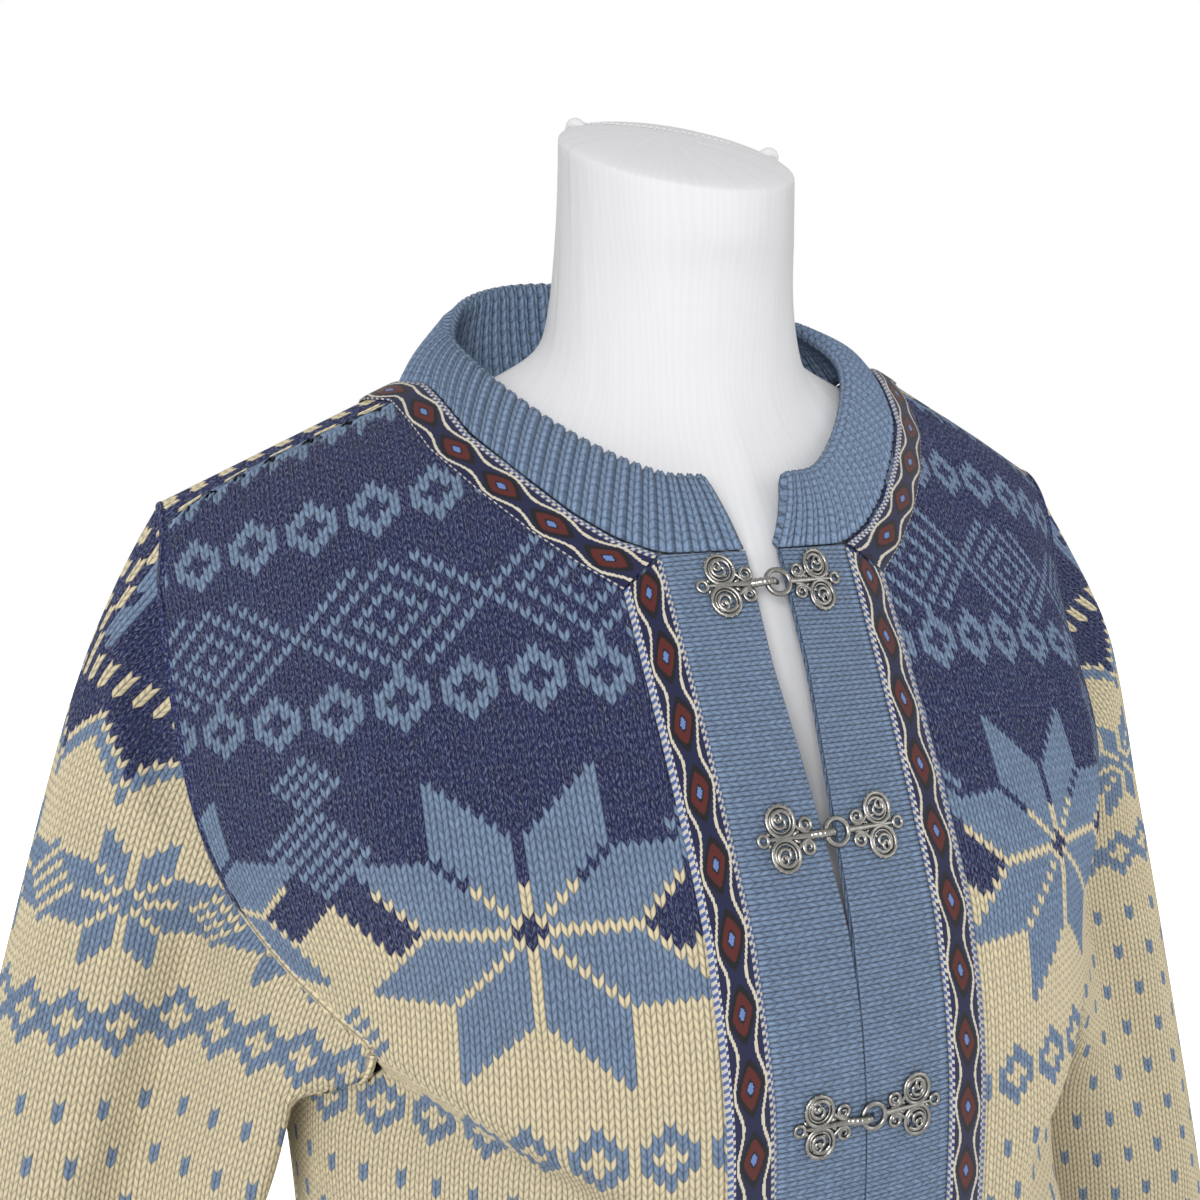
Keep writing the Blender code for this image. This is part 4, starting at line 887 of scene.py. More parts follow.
def knit(name, rows, wale, chart, facing, ribbed=False, edging=None):
    """Outside of a knitted piece, with four columns of faces in each stitch."""
    grid, normal, at, first = stitch_grid(rows, wale, facing)
    courses = rows.courses
    n = grid.shape[1]
    column = np.arange(n)
    rise = np.array([round(v[1] * FINE) for v in LEG])[column % 4]
    lift = np.array([v[2] for v in LEG])[column % 4]
    base = grid[: courses * FINE + 1 : FINE]
    room = stitch_room(base, wale)
    points, edge = [], []
    for r in range(courses + 1):
        k = r * FINE + (rise if 0 < r < courses else 0 * rise)
        points.append(grid[k, column] + normal[k, column] * (lift * room[r])[:, None])
        edge.append(at[k, column])
    points, edge = np.array(points), np.array(edge)
    if ribbed:
        valley = (np.floor(column / 4) + first) % 2 == 1
        points -= normal[: courses * FINE + 1 : FINE] * (valley * VALLEY)[None, :, None]
    points = points.reshape(-1, 3)
    r, c = (v.ravel() for v in np.meshgrid(np.arange(courses), np.arange(n - 1), indexing="ij"))
    # faces beyond the ends of a course, or with no height, are left out
    wide = np.abs(np.diff(edge, axis=1)) > 1e-6
    tall = np.linalg.norm(np.diff(base, axis=0), axis=2) > 4e-4
    keep = (wide[r, c] | wide[r + 1, c]) & (tall[r, c] | tall[r, c + 1])
    r, c = r[keep], c[keep]
    u = c / 4 + first
    uv = np.stack([np.stack([u, u + 0.25, u + 0.25, u], -1), np.stack([r, r, r + 1, r + 1], -1)], -1)
    wales = np.floor(c / 4).astype(int) + first
    ids = chart(wales, r)
    if edging is not None:
        ids = edging(ids, wales, base[r, c])
    colour = yarn_colours(bpy.context.scene.cardigan_yarn)[ids]
    colour[:, :3] *= stitch_tone(wales, r, ids)[:, None]
    colour = np.repeat(colour[:, None, :], 4, axis=1)
    quads, uv = faced_out(points, grid_quads(r, c, n), uv, normal[r * FINE, c])
    return fast_mesh(name, points, quads, uv, colour, wool()), grid, normal


def inside(name, grid, normal, colour, slot_name, step=(10, 8)):
    """Plain inside of a knitted piece, with its turned edges all round."""
    rows = list(range(0, grid.shape[0] - FINE, step[0])) + [grid.shape[0] - FINE]
    columns = list(range(0, grid.shape[1] - 1, step[1])) + [grid.shape[1] - 1]
    p = grid[np.ix_(rows, columns)]
    n = normal[np.ix_(rows, columns)]
    back = (p - n * WALL).reshape(-1, 3)
    front = (p - n * 0.0003).reshape(-1, 3)
    points = np.vstack([back, front])
    corner = np.arange(len(back)).reshape(len(rows), len(columns))
    quads = np.stack([corner[:-1, :-1], corner[1:, :-1], corner[1:, 1:], corner[:-1, 1:]], -1).reshape(-1, 4)
    low, high = back[quads[:, 0]] - back[quads[:, 3]], back[quads[:, 1]] - back[quads[:, 2]]
    wide = np.linalg.norm(low, axis=1) + np.linalg.norm(high, axis=1) > 1e-6
    faces = [quads[wide]]
    for line in (corner[0], corner[-1], corner[:, 0], corner[:, -1]):
        i, j = line[:-1], line[1:]
        faces.append(np.stack([i, j, j + len(back), i + len(back)], -1))
    faces = np.vstack(faces)
    x, y, z = np.moveaxis(points[faces], -1, 0)
    uv = np.stack([x * 220 + y * 220, z * 260], -1)
    tint = np.tile(np.array([*colour, 0.3]), (len(faces), 4, 1))
    return finish_piece(fast_mesh(name, points, faces, uv, tint, wool()), slot_name)


# Colour charts: wale and course to yarn


def star(dx, dy, radius):
    """Eight-pointed star of eight slanting petals with gaps between them."""
    a, b = np.maximum(abs(dx), abs(dy)), np.minimum(abs(dx), abs(dy))
    petal = (b <= radius // 2) & (a - b <= radius // 2 + 1)
    return petal & (b > 0) & (a - b > 0)


def open_diamond(dx, dy):
    """Small open diamond, seven courses high and five wales wide."""
    reach = np.abs(dx) + np.abs(dy)
    return (reach <= 3) & (np.abs(dx) <= 2) & (reach > 0) & ((reach >= 2) | (abs(dy) > 1))


def lice(i, r, start):
    """Small specks of two courses, every fourth wale, in staggered rows."""
    down = start - r
    band = down // 6
    return (down >= 0) & (down % 6 < 2) & ((i + 2 * (band % 2)) % 4 == 0)


def lattice(dx, dy):
    """Nested diamonds of single stitches."""
    reach = np.abs(dx) + np.abs(dy)
    return (reach <= 9) & (reach % 3 == 0)


def small_star(dx, dy):
    """Smaller star with a diamond in its middle."""
    a, b = np.maximum(abs(dx), abs(dy)), np.minimum(abs(dx), abs(dy))
    return ((b <= 3) & (a - b <= 4) & (a - b > 0) & (b > 0)) | ((a + b) <= 1)


def centred(i, period, start=0):
    """Offset of each wale from the middle of its repeat."""
    return (i - start + period // 2) % period - period // 2


def mirrored(i):
    """Wale counted outward from a seam or a middle that lies between two wales."""
    return np.where(i < 0, -i - 1, i)


def body_chart(course_at, middle_wale=False):
    """Chart of a front or, round its middle wale, of the back."""
    edge = course_at(BOUNDARY_Z)
    lower = course_at(LOWER_DIAMONDS_Z)
    net = course_at(LATTICE_Z)
    upper = course_at(UPPER_DIAMONDS_Z)

    def chart(i, r):
        mirror = np.abs(i) if middle_wale else mirrored(i)
        dx = centred(mirror, STAR_PERIOD, STAR_START)
        wave = np.abs(dx) % 12
        line = edge + np.where(wave < 6, wave, 12 - wave) - 3
        ids = np.where(r > line, NAVY, CREAM)
        ids = np.where(r == line, CREAM, ids)
        middle = edge + 1
        big = star(dx, r - middle, STAR_RADIUS)
        near = star(dx - 1, r - middle, STAR_RADIUS) | star(dx + 1, r - middle, STAR_RADIUS)
        near |= star(dx, r - middle - 1, STAR_RADIUS) | star(dx, r - middle + 1, STAR_RADIUS)
        ids = np.where(near & ~big & (r > edge - 8) & (r < edge + 6), CREAM, ids)
        ids = np.where(big, LIGHT, ids)
        # side sprigs between the stars
        sx = centred(mirror, STAR_PERIOD, STAR_START + STAR_PERIOD // 2)
        for lift, size in ((9, 5), (17, 3)):
            reach = np.abs(sx) + np.abs(r - middle - lift)
            ids = np.where((reach <= size) & (reach % 2 == 1), LIGHT, ids)
        reach = np.abs(sx) + np.abs(r - middle + 13)
        ids = np.where((reach == 3) | (reach == 1), LIGHT, ids)
        # bands above
        dx6 = centred(mirror, 6, 3)
        for band in (lower, upper):
            ids = np.where(open_diamond(dx6, r - band - 3), LIGHT, ids)
        dx18 = centred(mirror, 18, 9)
        ids = np.where(lattice(dx18, r - net - 5) & (np.abs(r - net - 5) <= 6), LIGHT, ids)
        # bands below
        below = edge - 22
        ids = np.where(open_diamond(dx6, r - below), LIGHT, ids)
        ids = np.where(lice(mirror, r, below - 8), LIGHT, ids)
        return ids

    return chart


def sleeve_chart(courses):
    """Chart of a sleeve, counted down from its top course."""

    def chart(i, r):
        down = courses - 1 - r
        # zigzag border between navy and cream
        dx = centred(i, 10)
        line = SLEEVE_BORDER + np.abs(dx) * 6 // 5
        ids = np.where(down < line, NAVY, CREAM)
        ids = np.where((down == line) | (down == line + 3), CREAM, ids)
        ids = np.where((down == line + 1) | (down == line + 2), LIGHT, ids)
        # a row of dashes above it
        dash = (down >= SLEEVE_DASHES) & (down < SLEEVE_DASHES + 3) & (i % 2 == 0)
        ids = np.where(dash, CREAM, ids)
        # stars with small diamonds between them
        over = down - SLEEVE_STARS - 7
        ids = np.where(small_star(centred(i, 18), over), LIGHT, ids)
        reach = np.abs(centred(i, 18, 9)) + np.abs(over)
        ids = np.where((reach == 4) | (reach == 2) | (reach == 0), LIGHT, ids)
        ids = np.where(open_diamond(centred(i, 5), down - SLEEVE_DIAMONDS - 3), LIGHT, ids)
        ids = np.where(lice(i, -down, -SLEEVE_LICE), LIGHT, ids)
        # the strap's pattern runs on over the sleeve and ends in a point
        j = mirrored(i)
        own = (j < 6) & (down < SLEEVE_DASHES + 1 - j // 2)
        return np.where(own, strap_pattern(i, r), ids)

    return chart


def strap_pattern(i, r):
    """Strap: a column of cream squares between zigzags, light blue at its edges."""
    j = mirrored(i)
    ids = np.full(np.shape(i), NAVY)
    ids = np.where((j < 1) & (r % 4 < 2), CREAM, ids)
    zig = 2 + np.abs(r % 6 - 3) // 2
    ids = np.where(j == zig, CREAM, ids)
    return np.where((j == 4) & (r % 6 > 1) | (j == 5), LIGHT, ids)


def strap_edging(face):
    """Light blue stitches of a front or back where it meets the strap."""

    def edging(ids, wales, place):
        drop = strap_z(np.minimum(np.abs(place[:, 0]), SHOULDER_TIP_X), face) - place[:, 2]
        beyond = np.abs(place[:, 0]) > NECK_POINT_X - 0.006
        depth = 0.0055 + 0.0035 * (wales % 3 == 0)
        return np.where(beyond & (drop < depth), LIGHT, ids)

    return edging


def plain(colour):
    """Chart of one colour."""
    return lambda i, r: np.full(np.shape(i), colour)


# Materials


class Nodes:
    """Short way to write a material's nodes."""

    def __init__(self, name, **constants):
        self.material = bpy.data.materials.new(name)
        self.material.use_nodes = True
        self.tree = self.material.node_tree
        self.shader = self.tree.nodes["Principled BSDF"]
        for key, value in constants.items():
            self.shader.inputs[key.replace("_", " ")].default_value = value

    def add(self, kind, **settings):
        node = self.tree.nodes.new(kind)
        for key, value in settings.items():
            setattr(node, key, value)
        return node

    def link(self, out, into):
        self.tree.links.new(out, into)

    def put(self, value, socket):
        if isinstance(value, (int, float, tuple)):
            socket.default_value = value
        else:
            self.link(value, socket)

    def math(self, operation, a, b=0.0, c=0.0, clamp=False):
        node = self.add("ShaderNodeMath", operation=operation, use_clamp=clamp)
        for value, socket in zip((a, b, c), node.inputs):
            self.put(value, socket)
        return node.outputs[0]

    def mix(self, factor, a, b, blend="MIX"):
        node = self.add("ShaderNodeMix", data_type="RGBA", blend_type=blend)
        self.put(factor, node.inputs["Factor"])
        self.put(a, node.inputs[6])
        self.put(b, node.inputs[7])
        return node.outputs[2]

    def noise(self, vector, scale, detail=2.0):
        node = self.add("ShaderNodeTexNoise")
        node.inputs["Scale"].default_value = scale
        node.inputs["Detail"].default_value = detail
        self.link(vector, node.inputs["Vector"])
        return node.outputs["Fac"]

    def combine(self, x, y, z=0.0):
        node = self.add("ShaderNodeCombineXYZ")
        for value, socket in zip((x, y, z), node.inputs):
            self.put(value, socket)
        return node.outputs[0]

    def bump(self, height, strength, distance, normal=None):
        node = self.add("ShaderNodeBump")
        node.inputs["Strength"].default_value = strength
        node.inputs["Distance"].default_value = distance
        self.link(height, node.inputs["Height"])
        if normal is not None:
            self.link(normal, node.inputs["Normal"])
        return node.outputs["Normal"]

    def uv(self):
        node = self.add("ShaderNodeUVMap", uv_map="stitch")
        split = self.add("ShaderNodeSeparateXYZ")
        self.link(node.outputs["UV"], split.inputs[0])
        return split.outputs[0], split.outputs[1]


def wool_material(name):
    """Wool yarn: rounded legs with plied strands, heather and fuzz, with painted shade in the gaps between legs
    and between plies.
    """
    m = Nodes(name, Roughness=0.88, Sheen_Weight=0.10, Sheen_Roughness=0.5)
    m.shader.inputs["Specular IOR Level"].default_value = 0.18
    u, v = m.uv()
    leg = m.math("FRACT", m.math("MULTIPLY", u, 2.0))
    side = m.math("FRACT", u)
    left = m.math("LESS_THAN", side, 0.5)
    way = m.math("SUBTRACT", m.math("MULTIPLY", left, 2.0), 1.0)
    across = m.math("SINE", m.math("MULTIPLY", leg, math.pi))
    along = m.math("FRACT", v)
    end = m.math("SINE", m.math("MULTIPLY", along, math.pi))
    swell = m.math("ADD", m.math("MULTIPLY", end, 0.55), 0.45)
    body = m.math("MULTIPLY", m.math("POWER", across, 0.6), swell)
    # plies turn round the yarn
    turn = m.math("ADD", m.math("MULTIPLY", v, 3.0), m.math("MULTIPLY", m.math("MULTIPLY", leg, way), 1.1))
    ply = m.math("ABSOLUTE", m.math("SINE", m.math("MULTIPLY", turn, math.pi)))
    grain = m.combine(m.math("MULTIPLY", u, 9.0), m.math("MULTIPLY", v, 2.4))
    hair = m.noise(grain, 2.2, 3.0)
    height = m.math("ADD", body, m.math("ADD", m.math("MULTIPLY", ply, 0.22), m.math("MULTIPLY", hair, 0.30)))
    m.link(m.bump(height, 0.95, 0.0013), m.shader.inputs["Normal"])
    yarn = m.add("ShaderNodeAttribute", attribute_name="yarn")
    colour, heather = yarn.outputs["Color"], yarn.outputs["Alpha"]
    fleck = m.noise(m.combine(m.math("MULTIPLY", u, 6.0), m.math("MULTIPLY", v, 1.7)), 1.3, 2.0)
    light = m.math("SMOOTH_MIN", 1.0, m.math("MULTIPLY", m.math("SUBTRACT", fleck, 0.48), 6.0), 0.1)
    light = m.math("MAXIMUM", light, 0.0)
    pale = m.mix(0.30, colour, (0.55, 0.62, 0.75, 1.0))
    mixed = m.mix(m.math("MULTIPLY", light, heather), colour, pale)
    low = m.math("MAXIMUM", m.math("SUBTRACT", 0.52, fleck), 0.0)
    dark = m.math("MULTIPLY", low, m.math("MULTIPLY", heather, 3.0))
    mixed = m.mix(dark, mixed, m.mix(0.65, mixed, (0.0, 0.0, 0.01, 1.0)))
    # painted shade: the colour darkens towards the sides and ends of each leg, where stitches meet, and in the
    # grooves between plies
    painted_gap_shade = m.math("MULTIPLY", m.math("POWER", across, 0.5), m.math("POWER", m.math("MAXIMUM", end, 0.0), 0.30))
    shade = m.math("ADD", m.math("MULTIPLY", painted_gap_shade, 0.92), 0.20, clamp=True)
    shade = m.math("MULTIPLY", shade, m.math("ADD", m.math("MULTIPLY", ply, 0.14), 0.90))
    grey = m.combine(shade, shade, shade)
    m.link(m.mix(1.0, mixed, grey, "MULTIPLY"), m.shader.inputs["Base Color"])
    return m.material


def ribbon_material(name, width, pitch=0.0268):
    """Woven ribbon: diamonds between wavy lines, dashes at both edges."""
    m = Nodes(name, Roughness=0.62, Sheen_Weight=0.12)
    m.shader.inputs["Specular IOR Level"].default_value = 0.30
    u, v = m.uv()
    thread = 0.00046
    across = m.math("MULTIPLY", m.math("ADD", m.math("FLOOR", m.math("DIVIDE", u, thread)), 0.5), thread)
    along = m.math("MULTIPLY", m.math("ADD", m.math("FLOOR", m.math("DIVIDE", v, thread)), 0.5), thread)
    off = m.math("ABSOLUTE", m.math("SUBTRACT", across, width / 2))
    phase = m.math("SUBTRACT", m.math("FRACT", m.math("DIVIDE", along, pitch)), 0.5)
    step = m.math("ABSOLUTE", m.math("MULTIPLY", phase, pitch))
    wide = m.math("POWER", m.math("DIVIDE", off, 0.0058), 1.25)
    tall = m.math("POWER", m.math("DIVIDE", step, 0.0112), 1.25)
    reach = m.math("ADD", wide, tall)
    colour = (0.010, 0.013, 0.060, 1.0)

    def paint(mask, tint, under):
        return m.mix(mask, under, tint)

    cosine = m.math("COSINE", m.math("MULTIPLY", phase, 2 * math.pi))
    wave = m.math("ADD", m.math("MULTIPLY", cosine, 0.0013), 0.0052)
    line = m.math("LESS_THAN", m.math("ABSOLUTE", m.math("SUBTRACT", off, wave)), 0.00056)
    colour = paint(line, (0.72, 0.66, 0.52, 1.0), colour)
    colour = paint(m.math("LESS_THAN", reach, 0.98), (0.004, 0.004, 0.007, 1.0), colour)
    colour = paint(m.math("LESS_THAN", reach, 0.66), (0.105, 0.013, 0.010, 1.0), colour)
    colour = paint(m.math("LESS_THAN", reach, 0.24), (0.004, 0.004, 0.010, 1.0), colour)
    colour = paint(m.math("LESS_THAN", reach, 0.15), (0.15, 0.25, 0.55, 1.0), colour)
    dash = m.math("LESS_THAN", m.math("FRACT", m.math("DIVIDE", v, 0.0029)), 0.5)
    outer = m.math("GREATER_THAN", off, width / 2 - 0.0010)
    inner = m.math("LESS_THAN", m.math("ABSOLUTE", m.math("SUBTRACT", off, width / 2 - 0.0016)), 0.0005)
    dashes = m.mix(dash, (0.70, 0.66, 0.58, 1.0), (0.10, 0.17, 0.42, 1.0))
    other = m.mix(dash, (0.04, 0.06, 0.20, 1.0), (0.70, 0.66, 0.58, 1.0))
    colour = m.mix(outer, colour, dashes)
    colour = m.mix(inner, colour, other)
    weft = m.math("ABSOLUTE", m.math("SINE", m.math("MULTIPLY", v, math.pi / thread)))
    warp = m.math("ABSOLUTE", m.math("SINE", m.math("MULTIPLY", u, math.pi / thread)))
    weave = m.math("MULTIPLY", weft, warp)
    # painted shade: the colour darkens between the crossing threads of the weave
    shade = m.math("ADD", m.math("MULTIPLY", weave, 0.40), 0.68)
    m.link(m.mix(1.0, colour, m.combine(shade, shade, shade), "MULTIPLY"), m.shader.inputs["Base Color"])
    m.link(m.bump(weave, 0.6, 0.00025), m.shader.inputs["Normal"])
    return m.material


def pewter_material(name, tint):
    """Antique pewter with patches of dark patina, and painted shade: each wire darker on its underside and
    lighter on its top.
    """
    m = Nodes(name, Metallic=1.0, Roughness=0.30)
    place = m.add("ShaderNodeTexCoord").outputs["Object"]
    patina = m.noise(place, 420.0, 4.0)
    # painted shade from the mesh's colour: each wire lighter on its top and darker underneath
    painted_wire_shade = m.add("ShaderNodeAttribute", attribute_name="yarn").outputs["Color"]
    tint_with_painted_shade = m.mix(1.0, (*tint, 1.0), painted_wire_shade, "MULTIPLY")
    dull = m.math("MULTIPLY", m.math("SUBTRACT", patina, 0.35), 1.4, clamp=True)
    m.link(m.mix(dull, m.mix(0.5, tint_with_painted_shade, (0.03, 0.03, 0.03, 1.0)), tint_with_painted_shade), m.shader.inputs["Base Color"])
    rough = m.math("ADD", m.math("MULTIPLY", m.noise(place, 900.0), 0.20), 0.18)
    m.link(rough, m.shader.inputs["Roughness"])
    m.link(m.bump(m.noise(place, 1500.0, 3.0), 0.25, 0.0002), m.shader.inputs["Normal"])
    return m.material


def jersey_material(name, tint):
    """Fine white jersey drawn over foam, with faint tension ripples and a little painted shade along them."""
    m = Nodes(name, Roughness=0.82, Sheen_Weight=0.10)
    m.shader.inputs["Specular IOR Level"].default_value = 0.25
    u, v = m.uv()
    stripe = m.math("SINE", m.math("MULTIPLY", u, 2 * math.pi / 0.0011))
    course = m.math("SINE", m.math("MULTIPLY", v, 2 * math.pi / 0.0009))
    knit_height = m.math("MULTIPLY", stripe, course)
    ripple = m.noise(m.combine(m.math("MULTIPLY", u, 60.0), m.math("MULTIPLY", v, 7.0)), 1.0, 2.0)
    bent = m.math("ADD", m.math("MULTIPLY", u, 2 * math.pi / 0.0034), m.math("MULTIPLY", ripple, 22.0))
    rib = m.math("SINE", bent)
    fine = m.bump(knit_height, 0.12, 0.0002)
    m.link(m.bump(ripple, 0.35, 0.0030, fine), m.shader.inputs["Normal"])
    # painted shade: the colour darkens slightly along the tension ripples and the fine ribs
    soft = m.math("ADD", m.math("MULTIPLY", ripple, 0.05), 0.955)
    shade = m.math("ADD", m.math("MULTIPLY", rib, 0.012), soft)
    grey = m.combine(shade, shade, shade)
    m.link(m.mix(1.0, (*tint, 1.0), grey, "MULTIPLY"), m.shader.inputs["Base Color"])
    return m.material


# Pieces


def finish_piece(thing, slot_name, *nodes):
    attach(thing, "root")
    if nodes:
        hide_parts(*nodes)
    return thing


def outward_y(face):
    return lambda p: np.tile([0.0, float(face), 0.0], (len(p), 1))


def from_axis(axis_x, axis_y):
    return lambda p: p * [1, 1, 0] - [axis_x, axis_y, 0]


def wool():
    return bpy.data.materials.get("wool") or wool_material("wool")


def upward(points):
    return np.tile([0.0, 0.0, 1.0], (len(points), 1))


def knit_piece(name, slot_name, rows, wale, chart, facing, tint, node="", step=(10, 8), **more):
    """Knitted piece in place of its node, and its inside."""
    thing, grid, normal = knit("knit_" + name, rows, wale, chart, facing, **more)
    finish_piece(thing, slot_name, node or name)
    return thing, inside("inside_" + name, grid, normal, tint, slot_name, step)


def make_front(side, gauge):
    """Front panel with its chart, and its inside."""
    rows = FrontRows(side, gauge.course)
    chart = body_chart(rows.course_at)
    return knit_piece("front_" + side_name(side), "knit_navy", rows, gauge.wale, chart, outward_y(-1),
                      INSIDE_NAVY, edging=strap_edging(-1))


def make_back(gauge):
    """Back with its chart, and its inside."""
    rows = BackRows(gauge.course)
    chart = body_chart(rows.course_at, middle_wale=True)
    return knit_piece("back", "knit_navy", rows, gauge.wale, chart, outward_y(1), INSIDE_NAVY)


def make_hems(gauge):
    """Ribbed hem pieces of the fronts and the back."""
    made = []
    for name, side in (("hem_front_right", -1), ("hem_front_left", 1), ("hem_back", 0)):
        if side:
            rows = FrontRows(side, gauge.course, HEM_BOTTOM, HEM_TOP)
        else:
            rows = BackRows(gauge.course, HEM_BOTTOM, HEM_TOP)
        facing = outward_y(-1 if side else 1)
        made.append(knit_piece(name, "knit_light_blue", rows, gauge.wale, plain(LIGHT), facing,
                               INSIDE_BLUE, ribbed=True))
    return made


def make_seam(name, path, radius):
    """Rolled seam along a path, sunk between two pieces."""
    around = 8
    points, faces, _ = tube(path, radius, around)
    faces = np.array(faces)
    turn = np.append(np.tile(np.arange(around), len(path)), [0, 0])
    along = np.append(np.repeat(run_of(path), around), [0, 0])
    uv = np.stack([turn[faces] / 4, along[faces] / 0.0042], -1)
    palette = yarn_colours(bpy.context.scene.cardigan_yarn)
    colour = palette[np.where(points[faces][..., 2] > BOUNDARY_Z, NAVY, CREAM)]
    return finish_piece(fast_mesh(name, points, faces, uv, colour, wool()), "knit_navy")


def make_armhole_seam(side):
    """Rolled seam round an armhole, thicker and deeper at the underarm."""
    loop = sleeve_loop()
    path = np.array([armhole_point(kind, value) for kind, value, _ in loop])
    near = [math.exp(-((value / 0.08) ** 2)) if kind != "strap" else 0.0 for kind, value, _ in loop]
    low = np.array(near)
    inward = unit((path.mean(axis=0) - path) * [0.2, 1, 1] - [0.5 * abs(path[0, 0]), 0, 0])
    path = path + inward * (0.0012 + 0.0032 * low)[:, None]
    return make_seam("seam_armhole_" + side_name(side), path * [side, 1, 1], 0.0022 + 0.0034 * low)


def make_side_seam(side):
    """Rolled seam down a side, from the underarm to the hem."""
    z = np.linspace(HEM_BOTTOM + 0.002, UNDERARM_Z + 0.004, 120)
    x = table(TORSO, TORSO_COLUMNS, z)["half_width"]
    path = (body_point(side * (x - 1e-5), z, -1) + body_point(side * (x - 1e-5), z, 1)) / 2
    path[:, 0] -= side * 0.0012
    return make_seam("seam_side_" + side_name(side), path, 0.0021)


def make_sleeve(side, gauge):
    """Sleeve with its shoulder strap, and its ribbed cuff."""
    name = side_name(side)
    rows = SleeveRows(side, gauge.sleeve_course)
    facing = from_axis(side * 0.29, 0.035)
    thing, lining = knit_piece("sleeve_" + name, "knit_cream", rows, gauge.sleeve_wale,
                               sleeve_chart(rows.courses), facing, INSIDE_CREAM)
    rows = StrapRows(side, gauge.course)
    strap, _, _ = knit("knit_strap_" + name, rows, gauge.wale, strap_pattern, upward)
    finish_piece(strap, "knit_navy")
    rows = SleeveRows(side, gauge.sleeve_course, 1.0, CUFF_FROM)
    cuff, cuff_lining = knit_piece("cuff_" + name, "knit_light_blue", rows, gauge.sleeve_wale,
                                   plain(LIGHT), facing, INSIDE_BLUE, ribbed=True)
    return thing, lining, strap, cuff, cuff_lining


def make_band(side, gauge):
    """Front band, knitted outward from its seam, and its inside."""
    name = side_name(side)
    rows = BandRows(side, gauge.band_course)
    return knit_piece("band_" + name, "knit_light_blue", rows, gauge.band_wale, plain(LIGHT),
                      outward_y(-1), INSIDE_BLUE, "front_band_" + name, (5, 8))


def collar_foot(n):
    """Neckline from the right edge of the opening round the back to the left edge."""
    halves = []
    for side in (-1, 1):
        rows = neck_rows(FRONT_NECKLINE[1:], side, -1)
        start = float(edge_x(np.array(BAND_TOP_Z), side)) * side
        x = np.linspace(start, rows[0, 0], 12)
        line = [body_point(side * x[:-1], np.full(11, BAND_TOP_Z), -1)]
        fx, fz = path_at(rows, np.linspace(0, 1, 60))
        line.append(body_point(side * fx, fz, -1))
        b = np.linspace(-1, 1, 22)[1:-1]
        line.append(strap_point(strap_neck_x(side, b), b) * [side, 1, 1])
        bx, bz = back_neckline(side, np.linspace(neck_point(side), 0, 40))
        line.append(body_point(side * bx, bz, 1))
        halves.append(np.vstack(line))
    whole = np.vstack([halves[0], halves[1][::-1][1:]])
    run = run_of(whole)
    at = np.linspace(0, run[-1], n)
    path = np.stack([np.interp(at, run, whole[:, k]) for k in range(3)], -1)
    for _ in range(int(n / 25)):
        path[1:-1] = (path[:-2] + 2 * path[1:-1] + path[2:]) / 4
    return path


def collar_points(at, profile):
    """Points of the collar at each place along it, for (height, inward) of its section."""
    n = 600
    foot = collar_foot(n)
    share = np.linspace(-1, 1, n)
    top = table(COLLAR_TOP, COLLAR_TOP_COLUMNS, 1 - np.abs(share))
    head = np.stack([np.sign(share) * top["x"], top["y"], top["z"]], -1)
    head[:, 0] += NECK_SHIFT
    rise = head - foot
    rise[:, 2] = np.maximum(rise[:, 2], 0.01)
    along = unit(np.gradient(foot, axis=0) + np.gradient(head, axis=0))
    inward = unit(np.cross(rise, along))
    inward *= np.sign(np.sum(inward * ([0, -0.015, 0] - foot) * [1, 1, 0], axis=1))[:, None]
    foot = foot + unit(rise) * 0.0006

    def pick(v):
        return np.stack([np.interp(at, np.linspace(0, 1, n), v[:, k]) for k in range(3)], -1)

    foot, rise, inward = pick(foot), pick(rise), unit(pick(inward))
    rows = []
    for h, depth in profile:
        belly = -inward * 0.0025 * math.sin(math.pi * min(max(h, 0), 1))
        rows.append(foot + rise * h + belly + inward * COLLAR_WALL * depth)
    return np.array(rows), inward


